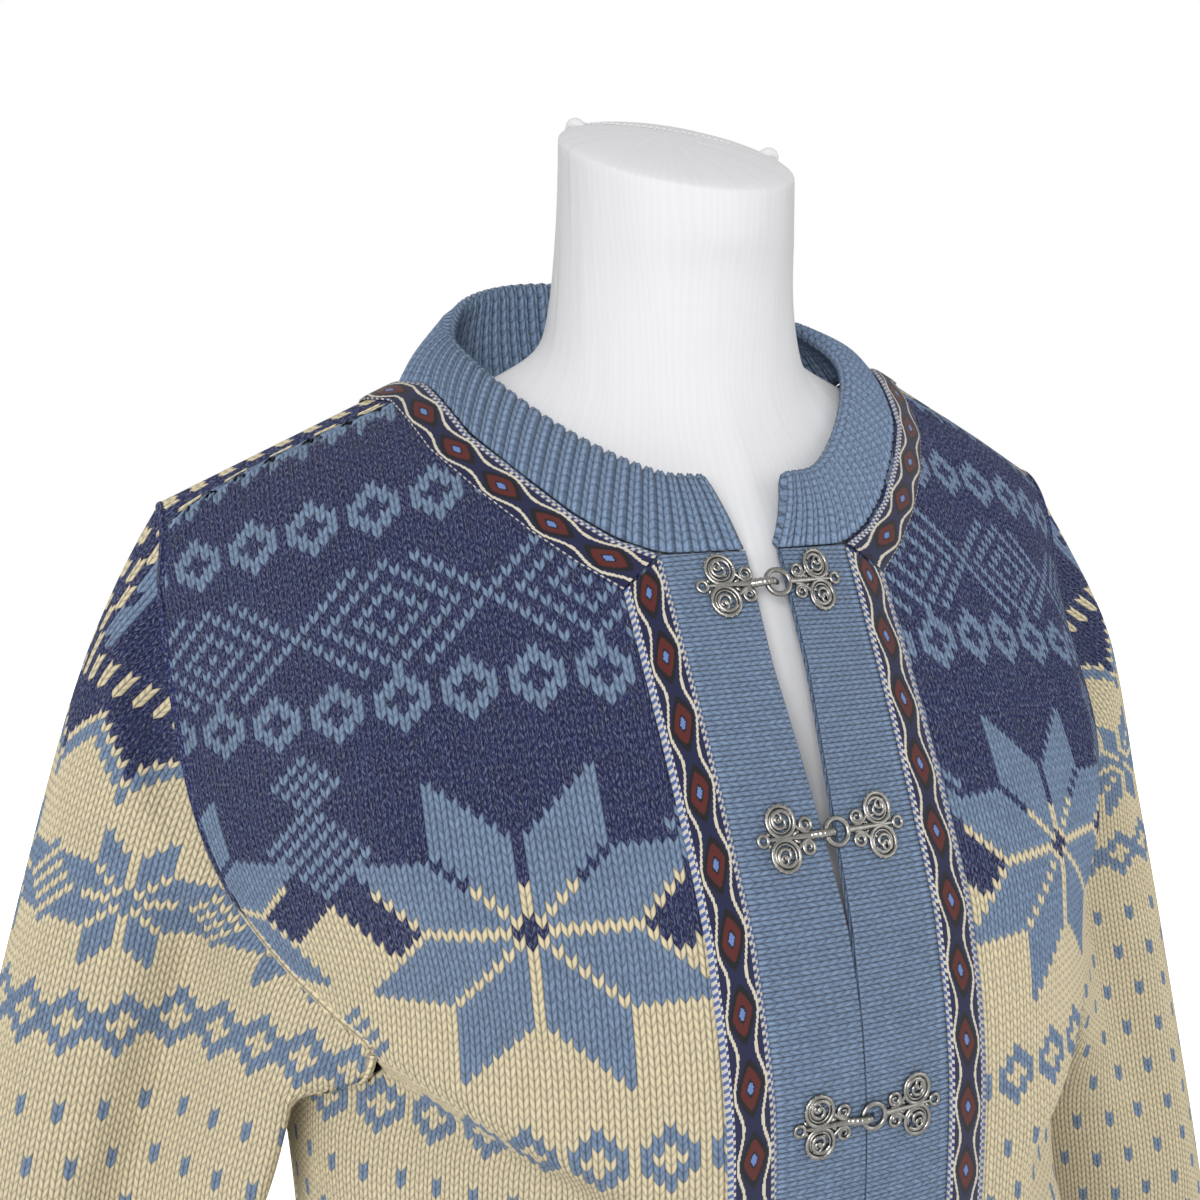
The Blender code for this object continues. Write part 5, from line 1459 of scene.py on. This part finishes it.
def make_collar(gauge):
    """Doubled rib collar: raised knit ribs with valleys between, folded over at its top."""
    outer = [(h, 0.0) for h in np.linspace(0.0, 0.90, 10)]
    over = [(0.90 + 0.085 * math.sin(a), 0.5 - 0.5 * math.cos(a)) for a in np.linspace(0, math.pi, 6)[1:-1]]
    inner = [(h, 1.0) for h in np.linspace(0.90, 0.10, 9)] + [(0.0, 0.30)]
    profile = outer + over + inner
    fine = np.array(profile)
    key = run_of(np.stack([fine[:, 0] * 0.038, fine[:, 1] * COLLAR_WALL, 0 * fine[:, 0]], -1))
    courses = int(key[-1] / gauge.course)
    rows = np.interp(np.arange(courses * FINE + FINE) / FINE * gauge.course, key, np.arange(len(fine)))
    steps = np.stack([np.interp(rows, np.arange(len(fine)), fine[:, k]) for k in range(2)], -1)
    n = COLLAR_RIBS * 5
    at = np.linspace(0, 1, n + 1)
    grid, inward = collar_points(at, steps)
    along = np.gradient(grid, axis=1)
    up = np.gradient(grid, axis=0)
    normal = unit(np.cross(along, up))
    if np.sum(normal[0] * -inward) < 0:
        normal = -normal
    # five columns to a rib: valley, leg, crease, leg, valley
    lift = np.array([-0.0014, 0.0002, 0.0007, 0.0003, 0.0007, 0.0002])[np.arange(n + 1) % 5]
    rise = np.array([3, 3, 2, 0, 2])[np.arange(n + 1) % 5]
    points = []
    column = np.arange(n + 1)
    for r in range(courses + 1):
        k = r * FINE + (rise if 0 < r < courses else 0 * rise)
        k = np.minimum(k, len(grid) - 1)
        points.append(grid[k, column] + normal[k, column] * lift[:, None])
    points = np.array(points)
    r, c = (v.ravel() for v in np.meshgrid(np.arange(courses), np.arange(n), indexing="ij"))
    u0 = c // 5 + np.array([0.0, 0.04, 0.27, 0.50, 0.73])[c % 5]
    u1 = c // 5 + np.array([0.04, 0.27, 0.50, 0.73, 1.0])[c % 5]
    uv = np.stack([np.stack([u0, u1, u1, u0], -1), np.stack([r, r, r + 1, r + 1], -1)], -1)
    palette = yarn_colours(bpy.context.scene.cardigan_yarn)
    flat = points.reshape(-1, 3)
    outward = normal[np.minimum(r * FINE, len(normal) - 1), c]
    quads, uv = faced_out(flat, grid_quads(r, c, n + 1), uv, outward)
    colour = np.tile(palette[LIGHT], (len(quads), 4, 1))
    thing = fast_mesh("knit_collar", flat, quads, uv, colour, wool())
    finish_piece(thing, "knit_light_blue", "collar")
    # ends at the opening, closed by a fan of quads
    caps = []
    for c in (0, n):
        ring = points[:, c]
        middle = np.tile(ring.mean(axis=0), (len(ring), 1))
        caps.append(np.stack([ring, ring * 0.5 + middle * 0.5, middle], 0))
    verts = np.vstack([cap.reshape(-1, 3) for cap in caps])
    faces = []
    m = len(points)
    for e in range(2):
        for layer in range(2):
            low = (e * 3 + layer) * m
            for k in range(m):
                j = (k + 1) % m
                faces.append([low + k, low + j, low + m + j, low + m + k])
    uv = verts[np.array(faces)][..., [0, 2]] * 260
    tint = np.tile(palette[LIGHT], (len(faces), 4, 1))
    cap = fast_mesh("knit_collar_ends", verts, faces, uv, tint, wool())
    return thing, finish_piece(cap, "knit_light_blue")


def strip_mesh(name, left, right, n_left, n_right, thick, lift, material, across=6):
    """Flat band laid on the cloth between two edge lines, with turned edges."""
    count = len(left)
    share = np.linspace(0, 1, across + 1)
    middle = (left + right) / 2
    run = run_of(middle)
    width = np.linalg.norm(right - left, axis=1).mean()
    rows = []
    heights = [lift] + [lift + thick * (1 - 0.35 * abs(2 * s - 1) ** 6) for s in share] + [lift]
    shares = [0.0] + list(share) + [1.0]
    for s, h in zip(shares, heights):
        base = left * (1 - s) + right * s
        normal = unit(n_left * (1 - s) + n_right * s)
        rows.append(base + normal * h)
    points = np.array(rows)
    m = len(shares)
    r, c = (v.ravel() for v in np.meshgrid(np.arange(m - 1), np.arange(count - 1), indexing="ij"))
    shares = np.array(shares)
    u = np.stack([shares[r], shares[r], shares[r + 1], shares[r + 1]], -1) * width
    v = np.stack([run[c], run[c + 1], run[c + 1], run[c]], -1)
    uv = np.stack([u, v], -1)
    flat = points.reshape(-1, 3)
    quads, uv = faced_out(flat, grid_quads(r, c, count), uv, n_left[c])
    return fast_mesh(name, flat, quads, uv, None, material)


def make_ribbons():
    """Ribbons along the band seams and round the neck, crossing at the front corners."""
    material = ribbon_material("ribbon", RIBBON_WIDTH)
    made = []
    for side in (-1, 1):
        name = side_name(side)
        z = np.linspace(HEM_BOTTOM + 0.0015, RIBBON_TOP_Z, 260)
        share = (z - z[0]) / (z[-1] - z[0])
        corner = FRONT_NECKLINE[1][0] + side * NECK_SHIFT, FRONT_RIBBON_EDGE[0][0] + side * NECK_SHIFT
        z_in = z[0] + share * (FRONT_NECKLINE[1][1] - 0.0022 - z[0])
        z_out = z[0] + share * (FRONT_RIBBON_EDGE[0][1] - 0.0009 - z[0])
        rise = np.clip((z - UNDERARM_Z) / (z[-1] - UNDERARM_Z), 0, 1)
        x_in = side * (BAND_SEAM_X + (corner[0] - BAND_SEAM_X) * rise - 0.0005)
        foot = BAND_SEAM_X - 0.0005 + RIBBON_WIDTH
        x_out = side * (foot + (corner[1] - BAND_SEAM_X + 0.0005 - RIBBON_WIDTH) * rise)
        left, right = body_point(x_in, z_in, -1), body_point(x_out, z_out, -1)
        thing = strip_mesh("ribbon_front_edge_" + name, left, right, surface_normal(x_in, z_in),
                           surface_normal(x_out, z_out), RIBBON_THICK, 0.0007, material)
        made.append(finish_piece(thing, "woven_ribbon", "ribbon_front_" + name))
    both = [np.vstack([a, b[::-1][1:]]) for a, b in zip(neck_ribbon_half(-1), neck_ribbon_half(1))]
    for n in both[2:]:
        for _ in range(6):
            n[1:-1] = unit(n[:-2] + 2 * n[1:-1] + n[2:])
    thing = strip_mesh("ribbon_round_neck", *both, RIBBON_THICK, 0.0010, material)
    made.append(finish_piece(thing, "woven_ribbon", "ribbon_neck"))
    return made


def neck_ribbon_half(side):
    """Inner and outer edge of one half, from the front corner to the middle of the back."""
    edge = 0.0012
    q = np.linspace(0, 1, 90)[:-1]
    b = np.linspace(-1, 1, 30)
    r = np.linspace(1, 0, 60)[1:]
    rows_in = neck_rows(FRONT_NECKLINE[1:], side, -1)
    rows_out = np.array(FRONT_RIBBON_EDGE) + [side * NECK_SHIFT, 0]
    end_out = rows_out[-1, 0]
    rows_out[-1, 1] = strap_z(rows_out[-1:, 0], -1)[0]
    back_out = np.array(BACK_RIBBON_EDGE) + [side * NECK_SHIFT, 0]
    back_out[-1] = [end_out, strap_z(np.array([end_out]), 1)[0]]
    back_out[0, 0] = 0.0
    fx, fz = path_at(rows_in, q)
    fx, fz = fx + edge * 0.3, fz - edge + 0.0004 * (1 - q)
    gx, gz = path_at(rows_out, q)
    bx, bz = back_neckline(side, neck_point(side) * r)
    bz = bz - edge
    cx, cz = path_at(back_out, r)
    bulge = NECK_BULGE * (1 - b * b)
    sx, tx = strap_neck_x(side, b) + edge, end_out + bulge * 1.1
    inner = np.vstack([body_point(fx, fz, -1), strap_point(sx, b), body_point(bx, bz, 1)])
    outer = np.vstack([body_point(gx, gz, -1), strap_point(tx, b), body_point(cx, cz, 1)])
    n_in = np.vstack([surface_normal(fx, fz, -1), strap_normal(sx, b), surface_normal(bx, bz, 1)])
    n_out = np.vstack([surface_normal(gx, gz, -1), strap_normal(tx, b), surface_normal(cx, cz, 1)])
    flip = np.array([side, 1, 1])
    return [v * flip for v in (inner, outer, n_in, n_out)]


# Clasps


def tube(path, radius, around=7, closed=False):
    """Points and quads of a round wire along a path in the clasp's own plane."""
    path = np.asarray(path, float)
    radius = np.broadcast_to(radius, len(path))
    if closed:
        tangent = unit(np.roll(path, -1, axis=0) - np.roll(path, 1, axis=0))
    else:
        tangent = unit(np.gradient(path, axis=0))
    side = unit(np.cross(tangent, [0, 0, 1.0]))
    lift = unit(np.cross(side, tangent))
    a = np.arange(around) / around * 2 * math.pi
    ring = side[:, None, :] * np.cos(a)[None, :, None] + lift[:, None, :] * np.sin(a)[None, :, None]
    points = path[:, None, :] + ring * radius[:, None, None]
    n = len(path)
    faces = []
    for i in range(n if closed else n - 1):
        j = (i + 1) % n
        for k in range(around):
            m = (k + 1) % around
            faces.append([i * around + k, i * around + m, j * around + m, j * around + k])
    points = points.reshape(-1, 3)
    if not closed:
        points = np.vstack([points, path[:1], path[-1:]])
        low, high = n * around, n * around + 1
        for k in range(0, around):
            m = (k + 1) % around
            faces.append([low, m, k, k])
            faces.append([high, (n - 1) * around + k, (n - 1) * around + m, (n - 1) * around + m])
    # painted shade: each wire lighter on its side away from the cloth and darker on its side towards it; the
    # end points get 0.8
    shade = np.clip(0.12 + 0.95 * (ring[..., 2].reshape(-1) + 1) / 2, 0, 1)
    if not closed:
        shade = np.append(shade, [0.8, 0.8])
    return points, faces, shade


def circle(x, y, r, z=0.0, n=28, start=0.0, end=2 * math.pi):
    a = np.linspace(start, end, n, endpoint=abs(end - start) < 2 * math.pi - 1e-6)
    return np.stack([x + r * np.cos(a), y + r * np.sin(a), np.full(n, z)], -1)


def spiral(x, y, r0, r1, start, turns, z=0.0, n=34):
    t = np.linspace(0, 1, n)
    a = start + turns * 2 * math.pi * t
    r = r0 + (r1 - r0) * t
    return np.stack([x + r * np.cos(a), y + r * np.sin(a), np.full(n, z)], -1)


def drop_shape(x, y, angle, length, width, height, n=9):
    """Leaf or bead: a pointed low dome."""
    t = np.linspace(0, 1, n)
    x, y = x + length * t * math.cos(angle), y + length * t * math.sin(angle)
    spine = np.stack([x, y, np.full(n, height * 0.2)], -1)
    radius = width * np.sin(math.pi * np.clip(t, 0.04, 0.98)) ** 0.8
    return tube(spine, np.maximum(radius, 0.00012), 8)


# Points of the stem from a scroll to the clasp's middle, in millimetres
CLASP_STEM = ((5.2, 4.4, 0.9), (6.6, 3.3, 1.1), (8.2, 1.9, 1.1), (9.6, 1.2, 1.0), (12.0, 1.0, 1.0))


def clasp_parts(kind):
    """Wires and leaves of one half, in metres: x towards the other half, z off the cloth."""
    mm = 0.001
    parts = []
    for s in (-1, 1):
        parts.append(tube(circle(0, s * 6.1 * mm, 5.6 * mm, 1.0 * mm), 0.85 * mm, closed=True))
        parts.append(tube(circle(0, s * 6.1 * mm, 4.2 * mm, 0.8 * mm), 0.50 * mm, closed=True))
        inner = spiral(0, s * 6.1 * mm, 4.3 * mm, 0.7 * mm, s * 0.4, s * 1.35, 0.9 * mm)
        parts.append(tube(inner, np.linspace(0.95, 0.65, len(inner)) * mm))
        curl = spiral(-1.2 * mm, s * 7.2 * mm, 2.4 * mm, 0.5 * mm, s * 2.6, -s * 1.1, 1.1 * mm, 20)
        parts.append(tube(curl, 0.60 * mm))
        parts.append(drop_shape(0.8 * mm, s * 4.6 * mm, -s * 0.5, 2.6 * mm, 0.8 * mm, 1.0 * mm))
        parts.append(tube(circle(10 * mm, s * 4.1 * mm, 2.3 * mm, 0.9 * mm), 0.80 * mm, closed=True))
        hook = spiral(10 * mm, s * 4.1 * mm, 1.9 * mm, 0.4 * mm, s * 2.8, s * 0.9, 1.0 * mm, 16)
        parts.append(tube(hook, 0.52 * mm))
        parts.append(tube(np.array(CLASP_STEM) * [1, s, 1] * mm, 0.75 * mm))
        parts.append(drop_shape(4.4 * mm, s * 0.7 * mm, s * 0.5, 4.0 * mm, 1.0 * mm, 1.1 * mm))
        parts.append(drop_shape(-4.6 * mm, s * 1.0 * mm, math.pi - s * 0.9, 2.6 * mm, 0.9 * mm, 1.0 * mm))
        for k in range(7):
            a = s * (0.7 + 0.38 * k)
            x, y = 5.7 * mm * math.cos(a), s * 6.1 * mm + 5.7 * mm * math.sin(a)
            parts.append(drop_shape(x + 0.01 * mm, y, a, 0.9 * mm, 0.42 * mm, 7.0 * mm, 5))
    parts.append(tube(circle(-8.2 * mm, 0, 2.0 * mm, 0.9 * mm), 0.80 * mm, closed=True))
    parts.append(tube(np.array([[-6.5, 0, 0.9], [-3, 0, 1.0], [1, 0, 1.2], [6, 0, 1.2], [12.5, 0, 1.2]]) * mm,
                      np.array([0.5, 0.8, 0.7, 1.1, 1.3]) * mm))
    parts.append(drop_shape(5.6 * mm, 0, 0.0, 2.4 * mm, 1.35 * mm, 1.6 * mm))
    if kind == "hook":
        t = np.linspace(0, 1, 22)
        x = 11.5 + 11.2 * t
        z = 1.2 + 2.2 * np.sin(np.clip(t * 1.15, 0, 1) * math.pi * 0.62) - 2.6 * np.clip(t - 0.78, 0, 1) / 0.22
        ribs = 1.25 + 0.16 * np.sin(t * 2 * math.pi * 7)
        tongue = tube(np.stack([x, 0 * x, z], -1) * mm, ribs * (1 - 0.45 * t**3) * mm, 8)
        tongue[0][:, 1] *= 1.35
        parts.append(tongue)
    else:
        centre = (EYE_X - RING_X) / mm
        parts.append(tube(circle(centre * mm, 0, 4.8 * mm, 1.5 * mm, 36), 1.05 * mm, 9, closed=True))
        parts.append(tube(np.array([[11.5, 0, 1.2], [15.0, 0, 1.4]]) * mm, 1.3 * mm))
    return parts


def make_clasp(number, z0, kind, material):
    """One half of a clasp, laid on its band."""
    shift = float(edge_x(np.array(z0), 1) + edge_x(np.array(z0), -1)) / 2
    points, faces, shade = joined(clasp_parts(kind))
    along = HOOK_X + points[:, 0] if kind == "hook" else EYE_X - points[:, 0]
    x, z = shift + along, z0 + points[:, 1]
    world = body_point(x, z, -1) + surface_normal(x, z) * (points[:, 2:] + LAID_GAP)
    if kind == "eye":
        faces = faces[:, ::-1]
    # the wires' painted shade goes into the colour attribute
    colour = np.repeat(shade[faces][..., None], 4, axis=2)
    thing = fast_mesh(f"clasp_wire_{number}_{kind}", world, faces, None, colour, material)
    return finish_piece(thing, "clasp_metal", f"clasp_{number}_{kind}")


# Dress form


def form_drop(x):
    """How far the form lies below the cloth: close on the shoulders, lower by the collar."""
    return FORM_INSET / math.cos(math.atan(SHOULDER_SLOPE)) + 0.014 * (1 - ease(np.abs(x), 0.112, 0.140))


def form_radius(angle, z, face):
    """Distance of the torso's surface from the axis, for an array of angles."""
    low, high = np.zeros(len(angle)), np.full(len(angle), 0.30)
    z = np.full(len(angle), z)
    for _ in range(30):
        mid = (low + high) / 2
        x, y = mid * np.cos(angle), mid * np.sin(angle)
        limit = np.abs(shell_y(x, z, face, FORM, form_drop(x)))
        inner = np.abs(y) < limit
        low, high = np.where(inner, mid, low), np.where(inner, high, mid)
    return (low + high) / 2


def form_ring(z, around=144):
    """Ring of the form at height z: torso or neck, whichever is larger."""
    neck = {k: float(v) for k, v in table(NECK, NECK_COLUMNS, np.array(z)).items()}
    angle = 2 * math.pi * np.arange(around) / around
    angle = angle - 0.22 * np.sin(2 * angle)
    c, s = np.cos(angle), np.sin(angle)
    a, b, yc = neck["half_width"], neck["half_depth"], neck["centre_y"]
    qa = (c / a) ** 2 + (s / b) ** 2
    qb = -2 * s * yc / b**2
    qc = yc**2 / b**2 - 1
    r_neck = (-qb + np.sqrt(qb * qb - 4 * qa * qc)) / (2 * qa)
    r_torso = np.zeros(around)
    if z < SHOULDER_APEX_Z - 0.01:
        front = form_radius(angle, z, -1)
        back = form_radius(angle, z, 1)
        r_torso = np.where(s < 0, front, back)
    if z < 0.60:
        r = r_torso
    else:
        blend = 0.006
        m = np.maximum(r_torso, r_neck)
        r = m + blend * np.log(np.exp((r_torso - m) / blend) + np.exp((r_neck - m) / blend))
        far = r_torso > r_neck + 0.025
        near = np.clip((r_torso - r_neck - 0.012) / 0.013, 0, 1)
        r = np.where(far, r_torso, r * (1 - near) + r_torso * near)
    if z < 0.003:
        r = r - FORM_BASE_FILLET * 0.6
    ring = leaned(np.stack([r * c, r * s, np.full(around, z)], -1))
    lean = ease(z, 0.715, 0.785)
    ring[:, 2] += lean * math.tan(CAP_TILT) * (ring[:, 1] - neck["centre_y"])
    return ring


def make_form(tint):
    """Dress form with its cap, the stitches across it and their pinched ends."""
    material = jersey_material("jersey", tint)
    heights = np.concatenate([[0.0, 0.003, 0.006], np.linspace(0.012, 0.60, 60), np.linspace(0.604, 0.785, 60)])
    rings = [form_ring(z) for z in heights]
    top = rings[-1]
    middle = top.mean(axis=0)
    lift = np.array([0, -math.sin(CAP_TILT), math.cos(CAP_TILT)])
    for share in (0.995, 0.985, 0.965, 0.93, 0.86, 0.70, 0.45, 0.20, 0.001):
        rings.append(middle + (top - middle) * share + lift * CAP_CROWN * math.sqrt(max(1 - share**2.2, 0)))
    base = rings[0] * [0.02, 0.02, 1]
    rings = [base, rings[0] * [0.5, 0.5, 1]] + rings
    grid = np.array(rings)
    m, n = grid.shape[:2]
    r, c = (v.ravel() for v in np.meshgrid(np.arange(m - 1), np.arange(n), indexing="ij"))
    d = (c + 1) % n
    quads = np.stack([r * n + c, r * n + d, (r + 1) * n + d, (r + 1) * n + c], -1)
    flat = grid.reshape(-1, 3)
    run_v = np.concatenate([[0], np.cumsum(np.linalg.norm(np.diff(grid, axis=0), axis=2).mean(axis=1))])
    u = np.stack([c, c + 1, c + 1, c], -1) / n * 0.62
    v = np.stack([run_v[r], run_v[r], run_v[r + 1], run_v[r + 1]], -1)
    thing = fast_mesh("form_cover", flat, quads, np.stack([u, v], -1), None, material)
    finish_piece(thing, "form_cover", "dress_form")
    # straight row of stitches across the cap, with a pinched tip at each end
    ends_at = [top[int(a / 360 * len(top))] for a in CAP_SEAM_ANGLES]
    parts = []
    count = 32
    for k in range(count):
        share = (k + 0.2 + 0.55 * np.array([0.0, 0.5, 1.0])) / count
        line = ends_at[0] + (ends_at[1] - ends_at[0]) * share[:, None]
        edge = np.linalg.norm(line - middle, axis=1) / np.linalg.norm(ends_at[0] - middle)
        crown = CAP_CROWN * np.sqrt(np.clip(1 - edge**2.2, 0, 1))
        line = line + lift * (crown + [0.0001, 0.0007, 0.0001])[:, None]
        parts.append(tube(line, 0.00042, 6))
    for corner, other in (ends_at, ends_at[::-1]):
        inward = unit(other - corner)
        t = np.linspace(0, 1, 11)
        rise = 0.0034 * np.sin(math.pi * t**0.7)
        tip = corner + inward * (0.011 * t - 0.0010)[:, None] + lift * rise[:, None]
        swell = 0.0026 * np.sin(math.pi * np.clip(t * 1.05, 0, 1)) ** 0.8
        parts.append(tube(tip, 0.0006 + swell * (1 - 0.5 * t), 10))
    points, faces, _ = joined(parts)
    uv = points[faces][..., [0, 2]]
    seam = fast_mesh("form_cap_seam", points, faces, uv, None, material)
    return thing, finish_piece(seam, "form_cover")


# Settings, operators and panel


def colour_property(name, description, default):
    return bpy.props.FloatVectorProperty(
        name=name, description=description, subtype="COLOR", size=3, default=default
    )


def length_property(name, description, default):
    return bpy.props.FloatProperty(name=name, description=description, unit="LENGTH", default=default)


class CardiganYarn(bpy.types.PropertyGroup):
    """Colours of the yarns, the clasps and the form."""

    navy: colour_property("Navy yarn", "Heathered ground of the upper body", (0.019, 0.027, 0.120))
    light: colour_property("Light blue yarn", "Motifs, bands and collar", (0.215, 0.310, 0.470))
    cream: colour_property("Cream yarn", "Ground of the lower body and sleeves", (0.860, 0.745, 0.500))
    pewter: colour_property("Clasp metal", "Cast clasps", (0.60, 0.58, 0.54))
    jersey: colour_property("Form cover", "White jersey of the dress form", (0.69, 0.69, 0.705))


class CardiganGauge(bpy.types.PropertyGroup):
    """Width and height of a stitch in each kind of piece."""

    wale: length_property("Stitch width", "Body", 0.0044)
    course: length_property("Stitch height", "Body", 0.0037)
    sleeve_wale: length_property("Sleeve stitch width", "Sleeves", 0.0046)
    sleeve_course: length_property("Sleeve stitch height", "Sleeves", 0.0040)
    band_wale: length_property("Band stitch width", "Front bands", 0.0040)
    band_course: length_property("Band stitch height", "Front bands", 0.0036)


class CardiganStage(bpy.types.PropertyGroup):
    """Light and camera."""

    key: bpy.props.FloatProperty(
        name="Key light", description="Power of the main soft light", unit="POWER", default=14.0
    )
    ambient: bpy.props.FloatProperty(name="Ambient light", description="Light from all round", default=0.52)
    lens: bpy.props.FloatProperty(name="Lens", description="Focal length in millimetres", default=39.0)
    roll: bpy.props.FloatProperty(
        name="Roll", description="Turn of the camera about its axis", subtype="ANGLE",
        default=math.radians(-2.5)
    )


class CARDIGAN_OT_form(bpy.types.Operator):
    """Cover the dress form with jersey and sew its cap"""

    bl_idname = "cardigan.form"
    bl_label = "Dress form"

    def execute(self, context):
        make_form(tuple(context.scene.cardigan_yarn.jersey))
        return {"FINISHED"}


class CARDIGAN_OT_body(bpy.types.Operator):
    """Knit both fronts, the back and the hems"""

    bl_idname = "cardigan.body"
    bl_label = "Fronts, back and hems"

    def execute(self, context):
        gauge = context.scene.cardigan_gauge
        for side in (-1, 1):
            thing, lining = make_front(side, gauge)
        thing, lining = make_back(gauge)
        pieces = [lining, make_side_seam(-1), make_side_seam(1)]
        for (thing, lining), width in zip(make_hems(gauge), (0.225, 0.225, 0.50)):
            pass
        return {"FINISHED"}


class CARDIGAN_OT_sleeves(bpy.types.Operator):
    """Knit the sleeves with their shoulder straps and cuffs"""

    bl_idname = "cardigan.sleeves"
    bl_label = "Sleeves and cuffs"

    def execute(self, context):
        for side in (-1, 1):
            thing, lining, strap, cuff, cuff_lining = make_sleeve(side, context.scene.cardigan_gauge)
            seam = make_armhole_seam(side)
        return {"FINISHED"}


class CARDIGAN_OT_edges(bpy.types.Operator):
    """Knit the front bands and the collar, and lay the ribbons"""

    bl_idname = "cardigan.edges"
    bl_label = "Bands, collar and ribbons"

    def execute(self, context):
        gauge = context.scene.cardigan_gauge
        for side in (-1, 1):
            thing, lining = make_band(side, gauge)
        collar, ends_piece = make_collar(gauge)
        lengths = (0.58, 0.58, 0.62)
        for thing, length in zip(make_ribbons(), lengths):
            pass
        return {"FINISHED"}


class CARDIGAN_OT_clasps(bpy.types.Operator):
    """Cast the clasps and lay them on the bands"""

    bl_idname = "cardigan.clasps"
    bl_label = "Clasps"

    def execute(self, context):
        material = pewter_material("pewter", tuple(context.scene.cardigan_yarn.pewter))
        for number, z0 in enumerate(CLASP_Z, start=1):
            for kind in ("hook", "eye"):
                make_clasp(number, z0, kind, material)
        return {"FINISHED"}


class CARDIGAN_OT_stage(bpy.types.Operator):
    """Set the floor, the soft lights, the white backdrop and the camera"""

    bl_idname = "cardigan.stage"
    bl_label = "Stage"

    def execute(self, context):
        stage = context.scene.cardigan_stage
        scene = context.scene
        mesh = bpy.data.meshes.new("floor")
        corners = [(x, y, -0.0005) for x, y in ((-6, -6), (6, -6), (6, 6), (-6, 6))]
        mesh.from_pydata(corners, [], [(0, 1, 2, 3)])
        floor = bpy.data.objects.new("floor", mesh)
        scene.collection.objects.link(floor)
        paper = Nodes("paper", Roughness=0.9)
        paper.shader.inputs["Base Color"].default_value = (0.80, 0.80, 0.80, 1)
        paper.shader.inputs["Emission Color"].default_value = (1.0, 1.0, 1.0, 1)
        seen = paper.add("ShaderNodeLightPath").outputs["Is Camera Ray"]
        paper.link(seen, paper.shader.inputs["Emission Strength"])
        mesh.materials.append(paper.material)
        world = bpy.data.worlds.new("studio")
        world.use_nodes = True
        world.node_tree.nodes["Background"].inputs["Color"].default_value = (1.0, 1.0, 1.0, 1)
        tree = world.node_tree
        seen = tree.nodes.new("ShaderNodeLightPath").outputs["Is Camera Ray"]
        level = tree.nodes.new("ShaderNodeMapRange")
        level.inputs["To Min"].default_value = stage.ambient
        tree.links.new(seen, level.inputs["Value"])
        tree.links.new(level.outputs["Result"], tree.nodes["Background"].inputs["Strength"])
        scene.world = world
        scene.view_settings.view_transform = "Standard"
        lights = (
            ("key", (-1.2, -1.9, 1.15), 1.1, stage.key * 2.6),
            ("fill", (1.6, -1.3, 0.9), 1.4, stage.key * 0.6),
            ("back", (0.4, 1.9, 1.3), 1.2, stage.key * 0.7),
        )
        for name, place, size, power in lights:
            data = bpy.data.lights.new(name, "AREA")
            data.size, data.energy = size, power
            lamp = bpy.data.objects.new(name, data)
            lamp.location = place
            lamp.rotation_euler = (Vector((0, 0, 0.5)) - Vector(place)).to_track_quat("-Z", "Y").to_euler()
            scene.collection.objects.link(lamp)
        data = bpy.data.cameras.new("camera")
        data.lens, data.sensor_width = stage.lens, 36.0
        data.clip_start = 0.05
        camera = bpy.data.objects.new("camera", data)
        azimuth, out = CAMERA_AZIMUTH, math.cos(CAMERA_ELEVATION)
        back = Vector((math.sin(azimuth) * out, -math.cos(azimuth) * out, math.sin(CAMERA_ELEVATION)))
        right = Vector((math.cos(azimuth), math.sin(azimuth), 0))
        up = back.cross(right)
        turned = right * math.cos(stage.roll) + up * math.sin(stage.roll)
        over = up * math.cos(stage.roll) - right * math.sin(stage.roll)
        turn = Matrix((turned, over, back)).transposed().to_4x4()
        camera.matrix_world = Matrix.Translation(Vector(CAMERA_TARGET) + back * CAMERA_DISTANCE) @ turn
        scene.collection.objects.link(camera)
        scene.camera = camera
        return {"FINISHED"}


OPERATORS = (
    CARDIGAN_OT_form,
    CARDIGAN_OT_body,
    CARDIGAN_OT_sleeves,
    CARDIGAN_OT_edges,
    CARDIGAN_OT_clasps,
    CARDIGAN_OT_stage,
)


class CARDIGAN_PT_panel(bpy.types.Panel):
    """Pieces, yarns and gauge of the cardigan"""

    bl_idname = "CARDIGAN_PT_panel"
    bl_label = "Cardigan"
    bl_space_type = "VIEW_3D"
    bl_region_type = "UI"
    bl_category = "Cardigan"

    def draw(self, context):
        for name, _ in GROUPS:
            group = getattr(context.scene, name)
            for key in group.__annotations__:
                self.layout.prop(group, key)
        for operator in OPERATORS:
            self.layout.operator(operator.bl_idname)


GROUPS = (
    ("cardigan_yarn", CardiganYarn),
    ("cardigan_gauge", CardiganGauge),
    ("cardigan_stage", CardiganStage),
)


def register():
    for name, group in GROUPS:
        bpy.utils.register_class(group)
        setattr(bpy.types.Scene, name, bpy.props.PointerProperty(type=group))
    for item in (*OPERATORS, CARDIGAN_PT_panel):
        bpy.utils.register_class(item)


def unregister():
    for item in (CARDIGAN_PT_panel, *reversed(OPERATORS)):
        bpy.utils.unregister_class(item)
    for name, group in reversed(GROUPS):
        delattr(bpy.types.Scene, name)
        bpy.utils.unregister_class(group)


def main():
    register()
    bpy.ops.cardigan.form()
    bpy.ops.cardigan.body()
    bpy.ops.cardigan.sleeves()
    bpy.ops.cardigan.edges()
    bpy.ops.cardigan.clasps()
    bpy.ops.cardigan.stage()


if __name__ == "__main__":
    main()
